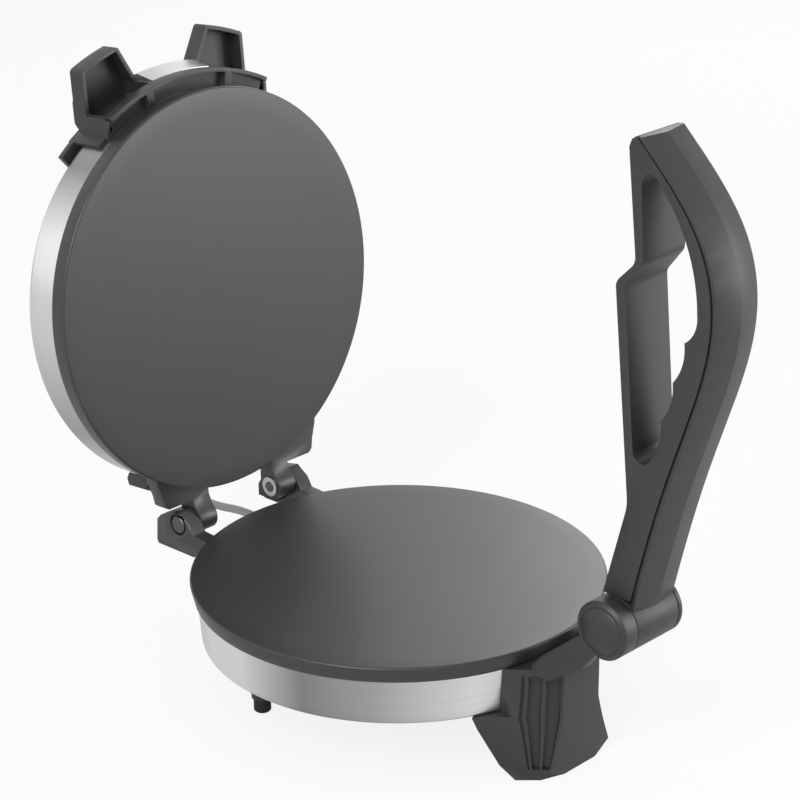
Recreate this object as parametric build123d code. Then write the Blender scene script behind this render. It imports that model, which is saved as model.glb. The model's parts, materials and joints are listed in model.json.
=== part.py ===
from build123d import *
from math import asin, atan2, cos, degrees, hypot, radians, sin, sqrt, tan
import os

# Electric roti maker: two round cooking plates on a rear hinge, and a pressing lever at the front.
# Millimetres. +Z up, -Y to the front (lever side). Sub-parts are drawn about the lower plate's axis
# with the plate's top at z = 0, the lid lying closed; stand() and open_lid() put them in place.

# ---- driving dimensions -------------------------------------------------------------------------
PLATE_R = 110.0            # radius of both cooking plates
PLATE_TOP_Z = 68.0         # lower plate's top above the counter
PLATE_Y = 11.0             # plate axis behind the part's origin
WEB = 4.5                  # thickness of a plate behind its cooking face
RIM_EDGE_R = 1.2           # rounding of a plate's upper edge
BASE_RIM = 8.65            # depth of the lower plate's skirt
BASE_RIM_TAPER = 1.75      # the skirt is this much smaller in radius at its lower edge
LID_RIM = 9.8
LID_RIM_TAPER = 0.7
LID_GAP = 0.35             # gap between the plates when closed
SKIRT_WALL = 4.6           # width of a skirt's bearing face

SHEET = 0.8                # steel sheet of both shells
BASE_SHELL_TOP_R = 106.6
BASE_SHELL_LOW_R = 104.7
BASE_SHELL_Z = -34.2       # lower edge of the base shell
SHELL_CORNER = 2.2
SHELL_FLANGE = 6.0
LID_SHELL_R = 108.5
LID_SHELL_Z = 33.4         # top of the lid shell's wall, closed lid
LID_CORNER = 6.0
LID_CROWN = 1.4
LID_KNEE = 0.6             # the crown changes slope at this share of the cap's radius

SEAT = 0.2                 # seat clearance between neighbours of one body
RUN = 0.05                 # radial running clearance of pins

HINGE_Y = PLATE_R + 12.3   # hinge axis, behind the plates' rim and above their joint
HINGE_Z = 2.95
LID_OPEN = 95.1            # rest angle of the lid
HINGE_PIN_R = 3.0
HINGE_HEAD_R = 4.9
HINGE_HEAD = 2.2
HEAD_SINK = 1.8            # depth of the pin head's counterbore
HEAD_ROOM = 1.3            # air round the pin's head
LUG_X0, LUG_X1 = 24.0, 36.0          # lug of the upper plate
LUG_GAP = 0.5
BLOCK_X0, BLOCK_X1 = LUG_X1 + LUG_GAP, 46.0      # cast block of the lower plate
LUG_R = 8.0
CLIP_R = 5.6               # star washer on the pin's inner end
CLIP_THICK = 0.8
NECK_THICK = 8.6
HEEL = 10.0                # reach of the lug's heel behind the pin
HEEL_Z = -8.1              # the heel's flat, below the pin
STOP_GAP = 0.3             # between the heel and its stop, lid open
STOP_THICK = 4.1

HEATER_R = 70.0            # heating element: ring radius and tube radius
HEATER_TUBE = 3.25
HEATER_Z = -8.0
HEATER_ARC = 320.0
HEATER_RIB = 4.2           # the plate's rib stands out this far beside the tube
HEATER_TAIL = 13.0
HEATER_TERMINAL_R = 1.3
HEATER_TERMINAL = 5.0
CLAMP_SHEET = 1.2
CLAMP_SCREW_R = 40.0
CLAMP_ARMS = 3
CLAMP_ARM = 12.0           # width of an arm
CLAMP_ANGLE = 30.0         # first arm
CLAMP_SCREW_LENGTH = 6.0
CLAMP_BOSS_R = 4.2
SCREW_R = 1.6              # shank of every screw
SCREW_HEAD_R = 3.4
SCREW_HEAD = 2.2
TAP = 0.05                 # a tapped hole is this much larger than the shank
SCREW_ROOM = 0.3           # and a clear hole this much
TIP_ROOM = 0.5             # air beyond a screw's tip

POST_R = 5.0               # cover posts and the bosses they meet
POST_CIRCLE = 88.0
POST_COUNT = 4
POST_ANGLE = 45.0          # first post
POST_THREAD = 7.0          # depth of a screw in a plate's boss
POST_MEET_Z = -14.0
COVER_SHEET = 1.5
FOOT_TOP_R = 7.5
FOOT_LOW_R = 5.6
COVER_RIM = 9.0            # the pan's pressed rim stands proud over this width
PAD_R = 4.6
PAD_H = 8.0
PAD_STEM_R = 2.5
PAD_STEM = 6.5
SCREW_SINK = 0.6           # the cover's screw heads lie this deep
VENT_COUNT = 12
VENT_IN_R, VENT_OUT_R = 28.0, 62.0
VENT_WIDTH = 4.0
SIDE_FOOT = (70.0, 33.0)
REAR_FOOT = (38.0, 82.0)

LEVER_Y = -PLATE_R - 47.5  # lever's pin
LEVER_Z = 28.5
LEVER_HALF = 15.5
HUB_R = 15.2
EAR_GAP = 0.5
EAR_X0 = LEVER_HALF + EAR_GAP
EAR_LEFT, EAR_RIGHT = 26.0, 20.0     # outer faces of the two ears
EAR_EDGE = 1.6
LEVER_PIN_R = 4.0
PIN_END = 1.6              # the pin stops this far inside an ear's outer face
BUSH_R = 6.0
BUSH_LENGTH = 12.0
CAP_R = 12.2
CAP_CROWN = 3.2
CAP_SINK = 1.5             # depth of a cap's seat in its ear

LEG_WALL = 2.6
LEG_TOP_Z = -9.2
LEG_SCREW_X = 20.0
LEG_SCREW_Z = -21.0
LEG_SCREW_LENGTH = 6.2
SOLE_Z = -PLATE_TOP_Z

BRACKET_R = LID_SHELL_R + 10.5       # front bracket's lip
BRACKET_WALL = 2.2
BRACKET_HALF = 34.4        # half angle of the bracket along the cap's wall
LIP_Z0, LIP_Z1 = 10.4, 16.6
LIP_HALF = 28.0            # half angle of the lip
LIP_BOSS_ANGLE = 14.0
LIP_BOSS_HALF = 2.4
NOSE_LOW_R = BRACKET_R + 0.2         # nose of the steel cap between the horns
NOSE_TOP_R = LID_SHELL_R + 13.3
NOSE_HALF_X = 20.0
NOSE_CORNER = 4.5
NOSE_TURN = 30             # the nose is turned over this angle, then cut to its width
HORN_R = LID_SHELL_R + 32.0
HORN_X0 = NOSE_HALF_X + 0.4          # inner side of a horn at its root
HORN_TIP_X = 31.5          # and at its tip
HORN_X1 = 57.0             # outer side
HORN_Z0, HORN_Z1 = 29.0, 40.0
HORN_CORNER = 2.5
CAP_INNER_R = LID_SHELL_R - 20.5     # wings over the lid's front edge
WING_THICK = 3.2
WING_HALF = 40.0

REAR_R = LID_SHELL_R + 7.0
REAR_ANGLES = (14.0, 31.0)
REAR_Z0, REAR_Z1 = 10.6, 28.0

BLOCK_SIZE = (36.0, 14.0, 11.0)      # terminal block
BLOCK_Y = 72.0

CABLE_X = 12.0
CABLE_R = 2.3
CABLE_EXIT_Z = -13.8
CABLE_ENTRY_Y = 95.0       # on the closed lid's top
GROMMET_R = 3.9
GROMMET_REACH = 2.7        # the base's grommet stands out of the shell by this much
GLAND_X = -13.0
GLAND_Z = -22.0
GLAND_R = 5.2
GLAND_BORE = 3.6
GLAND_REACH = 4.2
GLAND_EDGE = 1.2

BACK = Plane.YZ            # outlines in (y, z), extruded along x
FRONT = 270                # direction of the lever round the plate axis, degrees
ARC_SHARE = 0.293          # a quarter arc's middle lies this share of its radius in from the corner


# ---- helpers ------------------------------------------------------------------------------------
def slab(points, x0, x1, corner=0.0):
    """Closed (y, z) outline with rounded corners, from x0 to x1."""
    face = Polygon(*points, align=None)
    if corner:
        face = fillet(face.vertices(), corner)
    return Pos(x0, 0, 0) * extrude(BACK * face, x1 - x0, dir=(1, 0, 0))


def spun(points):
    """Closed (r, z) outline turned about the plate axis."""
    return revolve(Plane.XZ * Polygon(*points, align=None), Axis.Z)


def sector(points, middle, half):
    """Closed (r, z) outline turned about the plate axis over middle +- half degrees."""
    turned = revolve(Plane.XZ * Polygon(*points, align=None), Axis.Z, 2 * half)
    return Rot(0, 0, middle - half) * turned


def rod(radius, start, end):
    """Round bar between two points."""
    a, b = Vector(*start), Vector(*end)
    axis = Plane(origin=a, z_dir=b - a)
    return extrude(axis * Circle(radius), (b - a).length)


def both_sides(solid):
    """A piece and its mirror image across the middle plane."""
    return [solid, mirror(solid, about=Plane.YZ)]


def around(count, radius, first=0.0):
    """Places on a circle about the plate axis."""
    angles = [radians(first + 360.0 * k / count) for k in range(count)]
    return [(radius * cos(a), radius * sin(a)) for a in angles]


def screw(top, down, length):
    """Pan-head screw: 'top' is under its head, 'down' the unit direction of its shank."""
    top, down = Vector(*top), Vector(*down)
    shank = rod(SCREW_R, tuple(top), tuple(top + down * length))
    head = rod(SCREW_HEAD_R, tuple(top), tuple(top - down * SCREW_HEAD))
    return shank + head


def open_lid(solid):
    """Turns a piece of the closed lid to the open rest position."""
    swing = Pos(0, HINGE_Y, HINGE_Z) * Rot(-LID_OPEN, 0, 0) * Pos(0, -HINGE_Y, -HINGE_Z)
    return swing * solid


def to_closed(dy, dz):
    """(y, z) on the closed lid of a point given from the hinge axis with the lid open."""
    a = radians(LID_OPEN)
    return (HINGE_Y + dy * cos(a) - dz * sin(a), HINGE_Z + dy * sin(a) + dz * cos(a))


def stand(solid):
    """Puts a piece on the counter, in the part's own frame."""
    return Pos(0, PLATE_Y, PLATE_TOP_Z) * solid


def shell_y(x, z):
    """Distance in y from the plate axis to the base shell's outer face, at x and height z."""
    share = (z - BASE_SHELL_Z) / (-BASE_RIM - BASE_SHELL_Z)
    r = BASE_SHELL_LOW_R + share * (BASE_SHELL_TOP_R - BASE_SHELL_LOW_R)
    return sqrt(r * r - x * x)


def shell_cone(extra):
    """The base shell's outer cone, filled, larger by 'extra'."""
    return spun([(0, -BASE_RIM), (BASE_SHELL_TOP_R + extra, -BASE_RIM),
                 (BASE_SHELL_LOW_R + extra, BASE_SHELL_Z), (0, BASE_SHELL_Z)])


# ---- cooking plates and what is fixed behind them -------------------------------------------------
def plate_disc(rim, taper):
    """A cooking plate facing up at z = 0: web, skirt, heater rib, clamp and post bosses."""
    low_r = PLATE_R - taper
    disc = spun([(0, 0), (PLATE_R, 0), (low_r, -rim), (low_r - SKIRT_WALL + 1.0, -rim),
                 (low_r - SKIRT_WALL, -WEB), (0, -WEB)])
    disc = fillet(disc.edges().filter_by(GeomType.CIRCLE).sort_by(Axis.Z)[-1], RIM_EDGE_R)
    root = -WEB + 0.5
    rib_half = HEATER_TUBE + HEATER_RIB
    disc += spun([(HEATER_R - rib_half, root), (HEATER_R + rib_half, root),
                  (HEATER_R + rib_half - 1.0, HEATER_Z), (HEATER_R - rib_half + 1.0, HEATER_Z)])
    disc -= revolve(Plane.XZ * Pos(HEATER_R, HEATER_Z) * Circle(HEATER_TUBE + SEAT / 2), Axis.Z)
    clamp_z = HEATER_Z - HEATER_TUBE
    for x, y in around(CLAMP_ARMS, CLAMP_SCREW_R, CLAMP_ANGLE):
        disc += rod(CLAMP_BOSS_R, (x, y, root), (x, y, clamp_z))
        disc -= rod(SCREW_R + TAP, (x, y, clamp_z), (x, y, clamp_z + CLAMP_SCREW_LENGTH))
    for x, y in around(POST_COUNT, POST_CIRCLE, POST_ANGLE):
        disc += rod(POST_R, (x, y, root), (x, y, POST_MEET_Z))
        disc -= rod(SCREW_R + TAP, (x, y, POST_MEET_Z), (x, y, POST_MEET_Z + POST_THREAD + TIP_ROOM))
    return disc


BLOCK_OUTLINE = [(-11.5, -3.4), (-8.0, 2.2), (-0.5, 7.2), (8.0, 5.4), (14.8, 1.4), (18.0, -1.8),
                 (18.8, -14.6), (17.2, -16.9), (-11.2, -16.4)]
BLOCK_EDGE = 0.9


def base_plate():
    """Lower plate with its two cast hinge blocks."""
    plate = plate_disc(BASE_RIM, BASE_RIM_TAPER)
    root = PLATE_R - SKIRT_WALL
    outline = [(root - 10.0, -RIM_EDGE_R), *[(HINGE_Y + y, HINGE_Z + z) for y, z in BLOCK_OUTLINE],
               (root, -BASE_RIM), (root - 10.0, -BASE_RIM)]
    block = slab(outline, BLOCK_X0, BLOCK_X1)
    block = chamfer(block.faces().sort_by(Axis.X)[-1].edges(), BLOCK_EDGE)
    top = HINGE_Z + HEEL_Z - STOP_GAP
    stop = slab([(HINGE_Y + 3, top), (HINGE_Y + HEEL + 2, top), (HINGE_Y + HEEL + 2, top - STOP_THICK),
                 (HINGE_Y + 3, top - STOP_THICK)], (LUG_X0 + LUG_X1) / 2, BLOCK_X0 + 1)
    block += stop
    face_x = BLOCK_X1 - HEAD_SINK
    block -= rod(HINGE_PIN_R + RUN, (0, HINGE_Y, HINGE_Z), (BLOCK_X1, HINGE_Y, HINGE_Z))
    block -= rod(HINGE_HEAD_R + HEAD_ROOM, (face_x, HINGE_Y, HINGE_Z), (BLOCK_X1 + 1, HINGE_Y, HINGE_Z))
    for side in both_sides(block):
        plate += side
    return plate


def lid_plate():
    """Upper plate, drawn closed: the same disc face down, with necks and hinge lugs."""
    plate = mirror(plate_disc(LID_RIM, LID_RIM_TAPER), about=Plane.XY)
    plate = Pos(0, 0, LID_GAP) * plate
    top = LID_GAP + NECK_THICK
    neck_y = PLATE_R + 0.5
    inside = PLATE_R - 24.0
    neck_plan = Polygon((LUG_X0, inside), (LUG_X1 + 24.5, inside), (LUG_X1 + 23.5, PLATE_R - 16.0),
                        (LUG_X1 + 20.5, PLATE_R - 7.0), (LUG_X1 + 19.5, PLATE_R - 1.5), (LUG_X1 + 17.0, neck_y),
                        (LUG_X1, neck_y), (LUG_X1, neck_y + 2), (LUG_X0, neck_y + 2), align=None)
    neck = Pos(0, 0, LID_GAP) * extrude(neck_plan, NECK_THICK, dir=(0, 0, 1))
    neck -= Pos(0, 0, LID_GAP - 1) * extrude(Circle(PLATE_R - SKIRT_WALL + 0.6), NECK_THICK + 2)
    lug = slab([(neck_y - 4, LID_GAP), (neck_y, LID_GAP), (HINGE_Y - LUG_R * 0.8, HINGE_Z - LUG_R * 0.6),
                (HINGE_Y, HINGE_Z), (HINGE_Y, HINGE_Z + LUG_R), (neck_y + 2, top + 1.2), (neck_y - 4, top)],
               LUG_X0, LUG_X1)
    lug += rod(LUG_R, (LUG_X0, HINGE_Y, HINGE_Z), (LUG_X1, HINGE_Y, HINGE_Z))
    heel = [to_closed(*p) for p in ((2, HEEL_Z), (HEEL, HEEL_Z), (HEEL, -1), (5, 6), (0, 0))]
    lug += slab(heel, LUG_X0, LUG_X1)
    lug -= rod(HINGE_PIN_R + RUN, (LUG_X0 - 1, HINGE_Y, HINGE_Z), (LUG_X1 + 1, HINGE_Y, HINGE_Z))
    for side in both_sides(neck + lug):
        plate += side
    return plate


def heater():
    """Tubular element under a plate: a ring with two tails that turn away from the plate."""
    start = 90 + (360 - HEATER_ARC) / 2
    ring = revolve(Plane.XZ * Pos(HEATER_R, HEATER_Z) * Circle(HEATER_TUBE), Axis.Z, HEATER_ARC)
    ring = Rot(0, 0, start) * ring
    tail_z = HEATER_Z - HEATER_TAIL
    for angle in (start, start + HEATER_ARC):
        x, y = HEATER_R * cos(radians(angle)), HEATER_R * sin(radians(angle))
        ring += Pos(x, y, HEATER_Z) * Sphere(HEATER_TUBE)
        ring += rod(HEATER_TUBE, (x, y, HEATER_Z), (x, y, tail_z))
        ring += rod(HEATER_TERMINAL_R, (x, y, tail_z), (x, y, tail_z - HEATER_TERMINAL))
    return ring


def heater_clamp():
    """Pressed steel spider that holds the element in its groove."""
    z = HEATER_Z - HEATER_TUBE
    out_r, in_r = HEATER_R + HEATER_TUBE + 2.5, HEATER_R - HEATER_TUBE - 2.5
    ring = sector([(in_r, z), (out_r, z), (out_r, z - CLAMP_SHEET), (in_r, z - CLAMP_SHEET)],
                  FRONT, HEATER_ARC / 2 - 8)
    arm_length = HEATER_R - CLAMP_SCREW_R
    for k in range(CLAMP_ARMS):
        arm = Pos((CLAMP_SCREW_R + in_r) / 2, 0, z - CLAMP_SHEET / 2) * Box(arm_length, CLAMP_ARM, CLAMP_SHEET)
        ring += Rot(0, 0, CLAMP_ANGLE + 360 / CLAMP_ARMS * k) * arm
    for x, y in around(CLAMP_ARMS, CLAMP_SCREW_R, CLAMP_ANGLE):
        ring += Pos(x, y, z - CLAMP_SHEET / 2) * Cylinder(CLAMP_ARM / 2, CLAMP_SHEET)
        ring -= rod(SCREW_R + SCREW_ROOM, (x, y, z + 1), (x, y, z - CLAMP_SHEET - 1))
    return ring


def clamp_screws():
    z = HEATER_Z - HEATER_TUBE - CLAMP_SHEET
    places = around(CLAMP_ARMS, CLAMP_SCREW_R, CLAMP_ANGLE)
    return [screw((x, y, z), (0, 0, 1), CLAMP_SCREW_LENGTH) for x, y in places]


def thermostat():
    """Bimetal disc thermostat against the middle of a plate."""
    body = Pos(0, 0, -WEB - 1.0) * Cylinder(11.0, 2.0)
    body += Pos(0, 0, -WEB - 6.5) * Cylinder(8.2, 9.4)
    for x in (-5.0, 5.0):
        body += Pos(x, 0, -WEB - 14.0) * Box(0.8, 6.3, 8.0)
    return body


def thermal_fuse():
    """Clipped thermal fuse behind the upper plate, drawn under an upward plate."""
    fuse = rod(2.0, (-9, 0, -WEB - 2.2), (9, 0, -WEB - 2.2))
    fuse += rod(0.6, (-20, 0, -WEB - 2.2), (20, 0, -WEB - 2.2))
    strap = Pos(0, 0, -WEB - 2.7) * Box(7, 9, 5.4)
    return fuse + strap


# ---- base ---------------------------------------------------------------------------------------
def base_shell():
    """Brushed steel band, slightly conical, with a rolled-in flange at its foot."""
    top, low, z0 = BASE_SHELL_TOP_R, BASE_SHELL_LOW_R, BASE_SHELL_Z
    outer = Polygon((low - SHELL_FLANGE, z0), (low, z0), (top, -BASE_RIM), (top - SHEET, -BASE_RIM),
                    (low - SHEET, z0 + SHEET), (low - SHELL_FLANGE, z0 + SHEET), align=None)
    foot = outer.vertices().sort_by_distance((low, z0))[0]
    outer = fillet(foot, SHELL_CORNER)
    inside = outer.vertices().sort_by_distance((low - SHEET, z0 + SHEET))[0]
    outer = fillet(inside, SHELL_CORNER - SHEET)
    band = revolve(Plane.XZ * outer, Axis.Z)
    near, far = top * 0.8, top * 1.1
    band -= rod(GROMMET_R, (CABLE_X, near, CABLE_EXIT_Z), (CABLE_X, far, CABLE_EXIT_Z))
    band -= rod(GLAND_R, (GLAND_X, near, GLAND_Z), (GLAND_X, far, GLAND_Z))
    for x in (-LEG_SCREW_X, LEG_SCREW_X):
        band -= rod(SCREW_R + SCREW_ROOM, (x, -near, LEG_SCREW_Z), (x, -far, LEG_SCREW_Z))
    return band


def feet_places():
    (sx, sy), (rx, ry) = SIDE_FOOT, REAR_FOOT
    return [(sx, sy), (-sx, sy), (rx, ry), (-rx, ry)]


def base_cover():
    """Bottom pan inside the shell's flange, with screw posts and four tall foot posts."""
    z0 = BASE_SHELL_Z
    lip_r = BASE_SHELL_LOW_R - SHELL_CORNER - SEAT
    opening_r = BASE_SHELL_LOW_R - SHELL_FLANGE
    pan = spun([(0, z0), (opening_r - SEAT, z0), (opening_r - SEAT, z0 + SHEET),
                (lip_r, z0 + SHEET), (lip_r, z0 + SHEET + COVER_SHEET), (0, z0 + SHEET + COVER_SHEET)])
    pan -= Pos(0, 0, z0 - 1) * extrude(Circle(opening_r - COVER_RIM), 1 + SHEET)
    for x, y in around(POST_COUNT, POST_CIRCLE, POST_ANGLE):
        pan += rod(POST_R, (x, y, z0), (x, y, POST_MEET_Z))
        pan -= rod(SCREW_R + SCREW_ROOM, (x, y, z0 - 1), (x, y, POST_MEET_Z + 1))
        pan -= rod(SCREW_HEAD_R + TIP_ROOM, (x, y, z0 - 1), (x, y, z0 + SCREW_HEAD + SCREW_SINK))
    for x, y in feet_places():
        drop = z0 + SHEET - (SOLE_Z + PAD_H)
        post = Pos(x, y, z0 + SHEET - drop / 2) * Cone(FOOT_LOW_R, FOOT_TOP_R, drop)
        socket = (x, y, SOLE_Z + PAD_H + PAD_STEM + TIP_ROOM)
        pan += post - rod(PAD_STEM_R + TAP, (x, y, SOLE_Z + PAD_H), socket)
    cut = extrude(SlotOverall(VENT_OUT_R - VENT_IN_R, VENT_WIDTH), COVER_SHEET + 2, both=True)
    middle = Pos((VENT_IN_R + VENT_OUT_R) / 2, 0, z0 + SHEET + COVER_SHEET / 2)
    for k in range(VENT_COUNT):
        pan -= Rot(0, 0, 360 / VENT_COUNT * (k + 0.5)) * middle * cut
    return pan


def foot_pads():
    """Rubber pads with stems, pushed into the foot posts."""
    pads = []
    for x, y in feet_places():
        pad = Pos(x, y, SOLE_Z + PAD_H / 2) * Cylinder(PAD_R, PAD_H)
        pad = chamfer(pad.edges().sort_by(Axis.Z)[0], 0.8)
        pads.append(pad + rod(PAD_STEM_R, (x, y, SOLE_Z + PAD_H), (x, y, SOLE_Z + PAD_H + PAD_STEM)))
    return pads


def cover_screws():
    seat_z = BASE_SHELL_Z + SCREW_HEAD + SCREW_SINK
    length = POST_MEET_Z + POST_THREAD - seat_z
    places = around(POST_COUNT, POST_CIRCLE, POST_ANGLE)
    return [screw((x, y, seat_z), (0, 0, 1), length) for x, y in places]


def terminal_block():
    """Three-way ceramic terminal block on the cover."""
    z0 = BASE_SHELL_Z + SHEET + COVER_SHEET
    length, width, height = BLOCK_SIZE
    block = Pos(0, BLOCK_Y, z0 + height / 2) * Box(length, width, height)
    block = fillet(block.edges().filter_by(Axis.Z), 2.0)
    for k in (-1, 0, 1):
        x = k * length / 3.1
        block -= rod(2.2, (x, BLOCK_Y - width, z0 + height / 2), (x, BLOCK_Y + width, z0 + height / 2))
        block -= rod(1.8, (x, BLOCK_Y, z0 + height / 2), (x, BLOCK_Y, z0 + height + 1))
    return block


def cord_gland():
    """Gland for the mains cord, in the rear of the base shell."""
    wall_y = shell_y(GLAND_X, GLAND_Z)
    y0, y1 = wall_y - 7.0, wall_y + GLAND_REACH
    body = rod(GLAND_R - RUN, (GLAND_X, y0, GLAND_Z), (GLAND_X, y1, GLAND_Z))
    collar = rod(GLAND_R + 2.2, (GLAND_X, wall_y - 4.0, GLAND_Z), (GLAND_X, y1, GLAND_Z))
    gland = body + (collar - shell_cone(RUN))
    gland = fillet(gland.edges().filter_by(GeomType.CIRCLE).sort_by(Axis.Y)[-1], GLAND_EDGE)
    return gland - rod(GLAND_BORE, (GLAND_X, y0 - 1, GLAND_Z), (GLAND_X, y1 + 1, GLAND_Z))


# ---- front leg ------------------------------------------------------------------------------------
# Half outline of the leg at each height, from the front of the plates' rim: back corner, flank corner,
# facet edge and front corner.
RIM_Y = -PLATE_R
LEG_HEAD = [(32.3, RIM_Y + 16), (32.3, RIM_Y + 7.7), (27.4, RIM_Y + 1.5), (13.6, RIM_Y - 16)]
LEG_UPPER = [
    (LEG_TOP_Z, LEG_HEAD),
    (-20.0, LEG_HEAD),
    (BASE_SHELL_Z, [(32.3, RIM_Y + 16), (32.3, RIM_Y + 2.4), (30.5, RIM_Y + 0.7), (13.6, RIM_Y - 16)]),
]
LEG_LOWER = [
    (BASE_SHELL_Z, [(36.0, RIM_Y + 20), (46.5, RIM_Y + 16), (30.5, RIM_Y + 0.7), (13.6, RIM_Y - 16)]),
    (-41.0, [(35.0, RIM_Y + 19), (44.5, RIM_Y + 13.8), (30.5, RIM_Y - 1.5), (15.2, RIM_Y - 16)]),
    (-61.5, [(30.0, RIM_Y + 11), (36.5, RIM_Y + 6), (30.2, RIM_Y - 6.6), (22.3, RIM_Y - 16.2)]),
    (SOLE_Z, [(29.0, RIM_Y + 4), (33.6, RIM_Y - 2), (24.9, RIM_Y - 11.3), (12.0, RIM_Y - 16)]),
]
FLUTES = [(0.04, 0.13, 2.0), (0.20, 0.52, 4.0), (0.60, 0.94, 4.0)]     # span across the facet, depth
FLUTE_TOP_Z = -13.0
LEG_RIB_X = 9.0
LEG_RIB = 2.2              # thickness of the ribs in the leg's hollow
LEG_RIB_Y = 3.0            # their middle, behind the rim's front
LEG_RIB_DEPTH = 36.0
LEG_OPEN = 20.0            # the leg's hollow runs out through its back by this much
LEG_BOSS_R = 4.2


def leg_section(z, half, inset=0.0, open_back=0.0):
    """Whole outline of the leg at height z, moved in by a wall and out past the back."""
    right = [(x - inset, y + inset) for x, y in half]
    right[0] = (right[0][0], right[0][1] + open_back)
    points = right + [(-x, y) for x, y in reversed(right)]
    return Pos(0, 0, z) * Polygon(*points, align=None)


def leg_solid(levels, inset=0.0, open_back=0.0):
    """Ruled body through the outlines at the given heights."""
    body = None
    for (z0, lower), (z1, upper) in zip(levels, levels[1:]):
        faces = [leg_section(z1, upper, inset, open_back), leg_section(z0, lower, inset, open_back)]
        span = loft(faces, ruled=True)
        body = span if body is None else body + span
    return body


def flute_section(z, half, side, near, far, depth):
    """Outline of a flute at height z, on the facet between its edge and the front corner."""
    edge, front = Vector(*half[2]), Vector(*half[3])
    run = front - edge
    out = Vector(-run.Y, run.X).normalized()
    slant = run * 0.02
    a, b = edge + run * near, edge + run * far
    corners = [a + out * depth, b + out * depth, b - out * depth - slant, a - out * depth + slant]
    return Pos(0, 0, z) * Polygon(*[(side * c.X, c.Y) for c in corners], align=None)


def flute_cut(side, near, far, depth):
    """One flute down an oblique facet: a ruled channel that follows the facet's own lines."""
    levels = [(FLUTE_TOP_Z, LEG_UPPER[0][1]), *LEG_UPPER[1:], *LEG_LOWER[1:3]]
    sections = [flute_section(z, half, side, near, far, depth) for z, half in levels]
    cut = None
    for upper, lower in zip(sections, sections[1:]):
        span = loft([upper, lower], ruled=True)
        cut = span if cut is None else cut + span
    return cut


def front_leg():
    """Hollow faceted leg under the front of the base, with two arms and round ears for the lever."""
    outer = leg_solid(LEG_UPPER) + leg_solid(LEG_LOWER)
    deepest = max(depth for _, _, depth in FLUTES)
    for side in (-1, 1):
        for near, far, depth in FLUTES:
            outer -= flute_cut(side, near, far, depth)
    inner_levels = [(LEG_TOP_Z - LEG_WALL, LEG_UPPER[0][1]), *LEG_UPPER[1:]]
    inner_low = LEG_LOWER[:-1] + [(SOLE_Z + LEG_WALL, LEG_LOWER[-1][1])]
    wall = LEG_WALL + deepest
    leg = outer - leg_solid(inner_levels, wall, LEG_OPEN) - leg_solid(inner_low, wall, LEG_OPEN)
    for x in (-LEG_RIB_X, LEG_RIB_X):
        middle = Pos(x, RIM_Y + LEG_RIB_Y, (LEG_TOP_Z + SOLE_Z) / 2)
        rib = middle * Box(LEG_RIB, LEG_RIB_DEPTH, LEG_TOP_Z - SOLE_Z)
        leg += rib & outer
    head_y, tip_y = leg_screw_ends()
    for x in (-LEG_SCREW_X, LEG_SCREW_X):
        leg += rod(LEG_BOSS_R, (x, head_y, LEG_SCREW_Z), (x, tip_y - LEG_BOSS_R, LEG_SCREW_Z)) & outer
    leg -= shell_cone(SEAT)
    for x in (-LEG_SCREW_X, LEG_SCREW_X):
        leg -= rod(SCREW_R + TAP, (x, head_y, LEG_SCREW_Z), (x, tip_y - SEAT, LEG_SCREW_Z))
    return leg + arm_and_ear(EAR_RIGHT) + mirror(arm_and_ear(EAR_LEFT), about=Plane.YZ)


def leg_screw_ends():
    """y under the head of the leg's screws, inside the shell, and at their tips."""
    reach = LEG_SCREW_X + SCREW_HEAD_R
    wall_y = shell_y(reach, LEG_SCREW_Z) - SHEET * 1.1
    return -wall_y + SEAT, -wall_y + SEAT - LEG_SCREW_LENGTH


def arm_and_ear(ear_x):
    """Right-hand arm, rising from the leg's top to a round ear on the lever's axis."""
    rim_y, root_z = RIM_Y - 1.5, LEG_TOP_Z
    outline = [(rim_y, root_z - 4), (rim_y, root_z + 2), (rim_y - 6.0, -0.5), (rim_y - 14.5, 6.6),
               (LEVER_Y + 13, LEVER_Z - 6), (LEVER_Y + 2, LEVER_Z), (LEVER_Y + 4, LEVER_Z + 1 - HUB_R),
               (LEVER_Y + 13.5, 2.0), (LEVER_Y + 23.0, -4.4), (LEVER_Y + 32.0, -12.0)]
    arm = slab(outline, EAR_X0, min(ear_x, EAR_X0 + 7.4))
    arm = chamfer(arm.faces().sort_by(Axis.X)[-1].edges(), 1.0)
    section = Plane.XY * Polygon((EAR_X0, 0), (EAR_X0, HUB_R), (ear_x - EAR_EDGE, HUB_R),
                                 (ear_x, HUB_R - EAR_EDGE), (ear_x, 0), align=None)
    ear = arm + Pos(0, LEVER_Y, LEVER_Z) * revolve(section, Axis.X)
    cap_x = ear_x - CAP_SINK
    ear -= rod(LEVER_PIN_R + RUN, (EAR_X0 - 1, LEVER_Y, LEVER_Z), (cap_x, LEVER_Y, LEVER_Z))
    return ear - rod(CAP_R, (cap_x, LEVER_Y, LEVER_Z), (ear_x + 1, LEVER_Y, LEVER_Z))


def pivot_caps():
    """Shallow domed caps over the ends of the lever's pin."""
    r, sink, crown = CAP_R - RUN, CAP_SINK, CAP_CROWN
    ball_r = (r * r + crown * crown) / (2 * crown)
    half = asin(r / ball_r) / 2
    section = Polyline((0, crown), (0, -sink), (r, -sink), (r, 0))
    section += ThreePointArc((r, 0), (ball_r * sin(half), crown - ball_r + ball_r * cos(half)), (0, crown))
    cap = revolve(Plane.XZ * make_face(section), Axis.Z)
    places = ((-EAR_LEFT, -1), (EAR_RIGHT, 1))
    return [Plane(origin=(x, LEVER_Y, LEVER_Z), z_dir=(side, 0, 0)) * cap for x, side in places]


def leg_screws():
    head_y, _ = leg_screw_ends()
    places = [(x, head_y, LEG_SCREW_Z) for x in (-LEG_SCREW_X, LEG_SCREW_X)]
    return [screw(place, (0, -1, 0), LEG_SCREW_LENGTH) for place in places]


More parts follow.
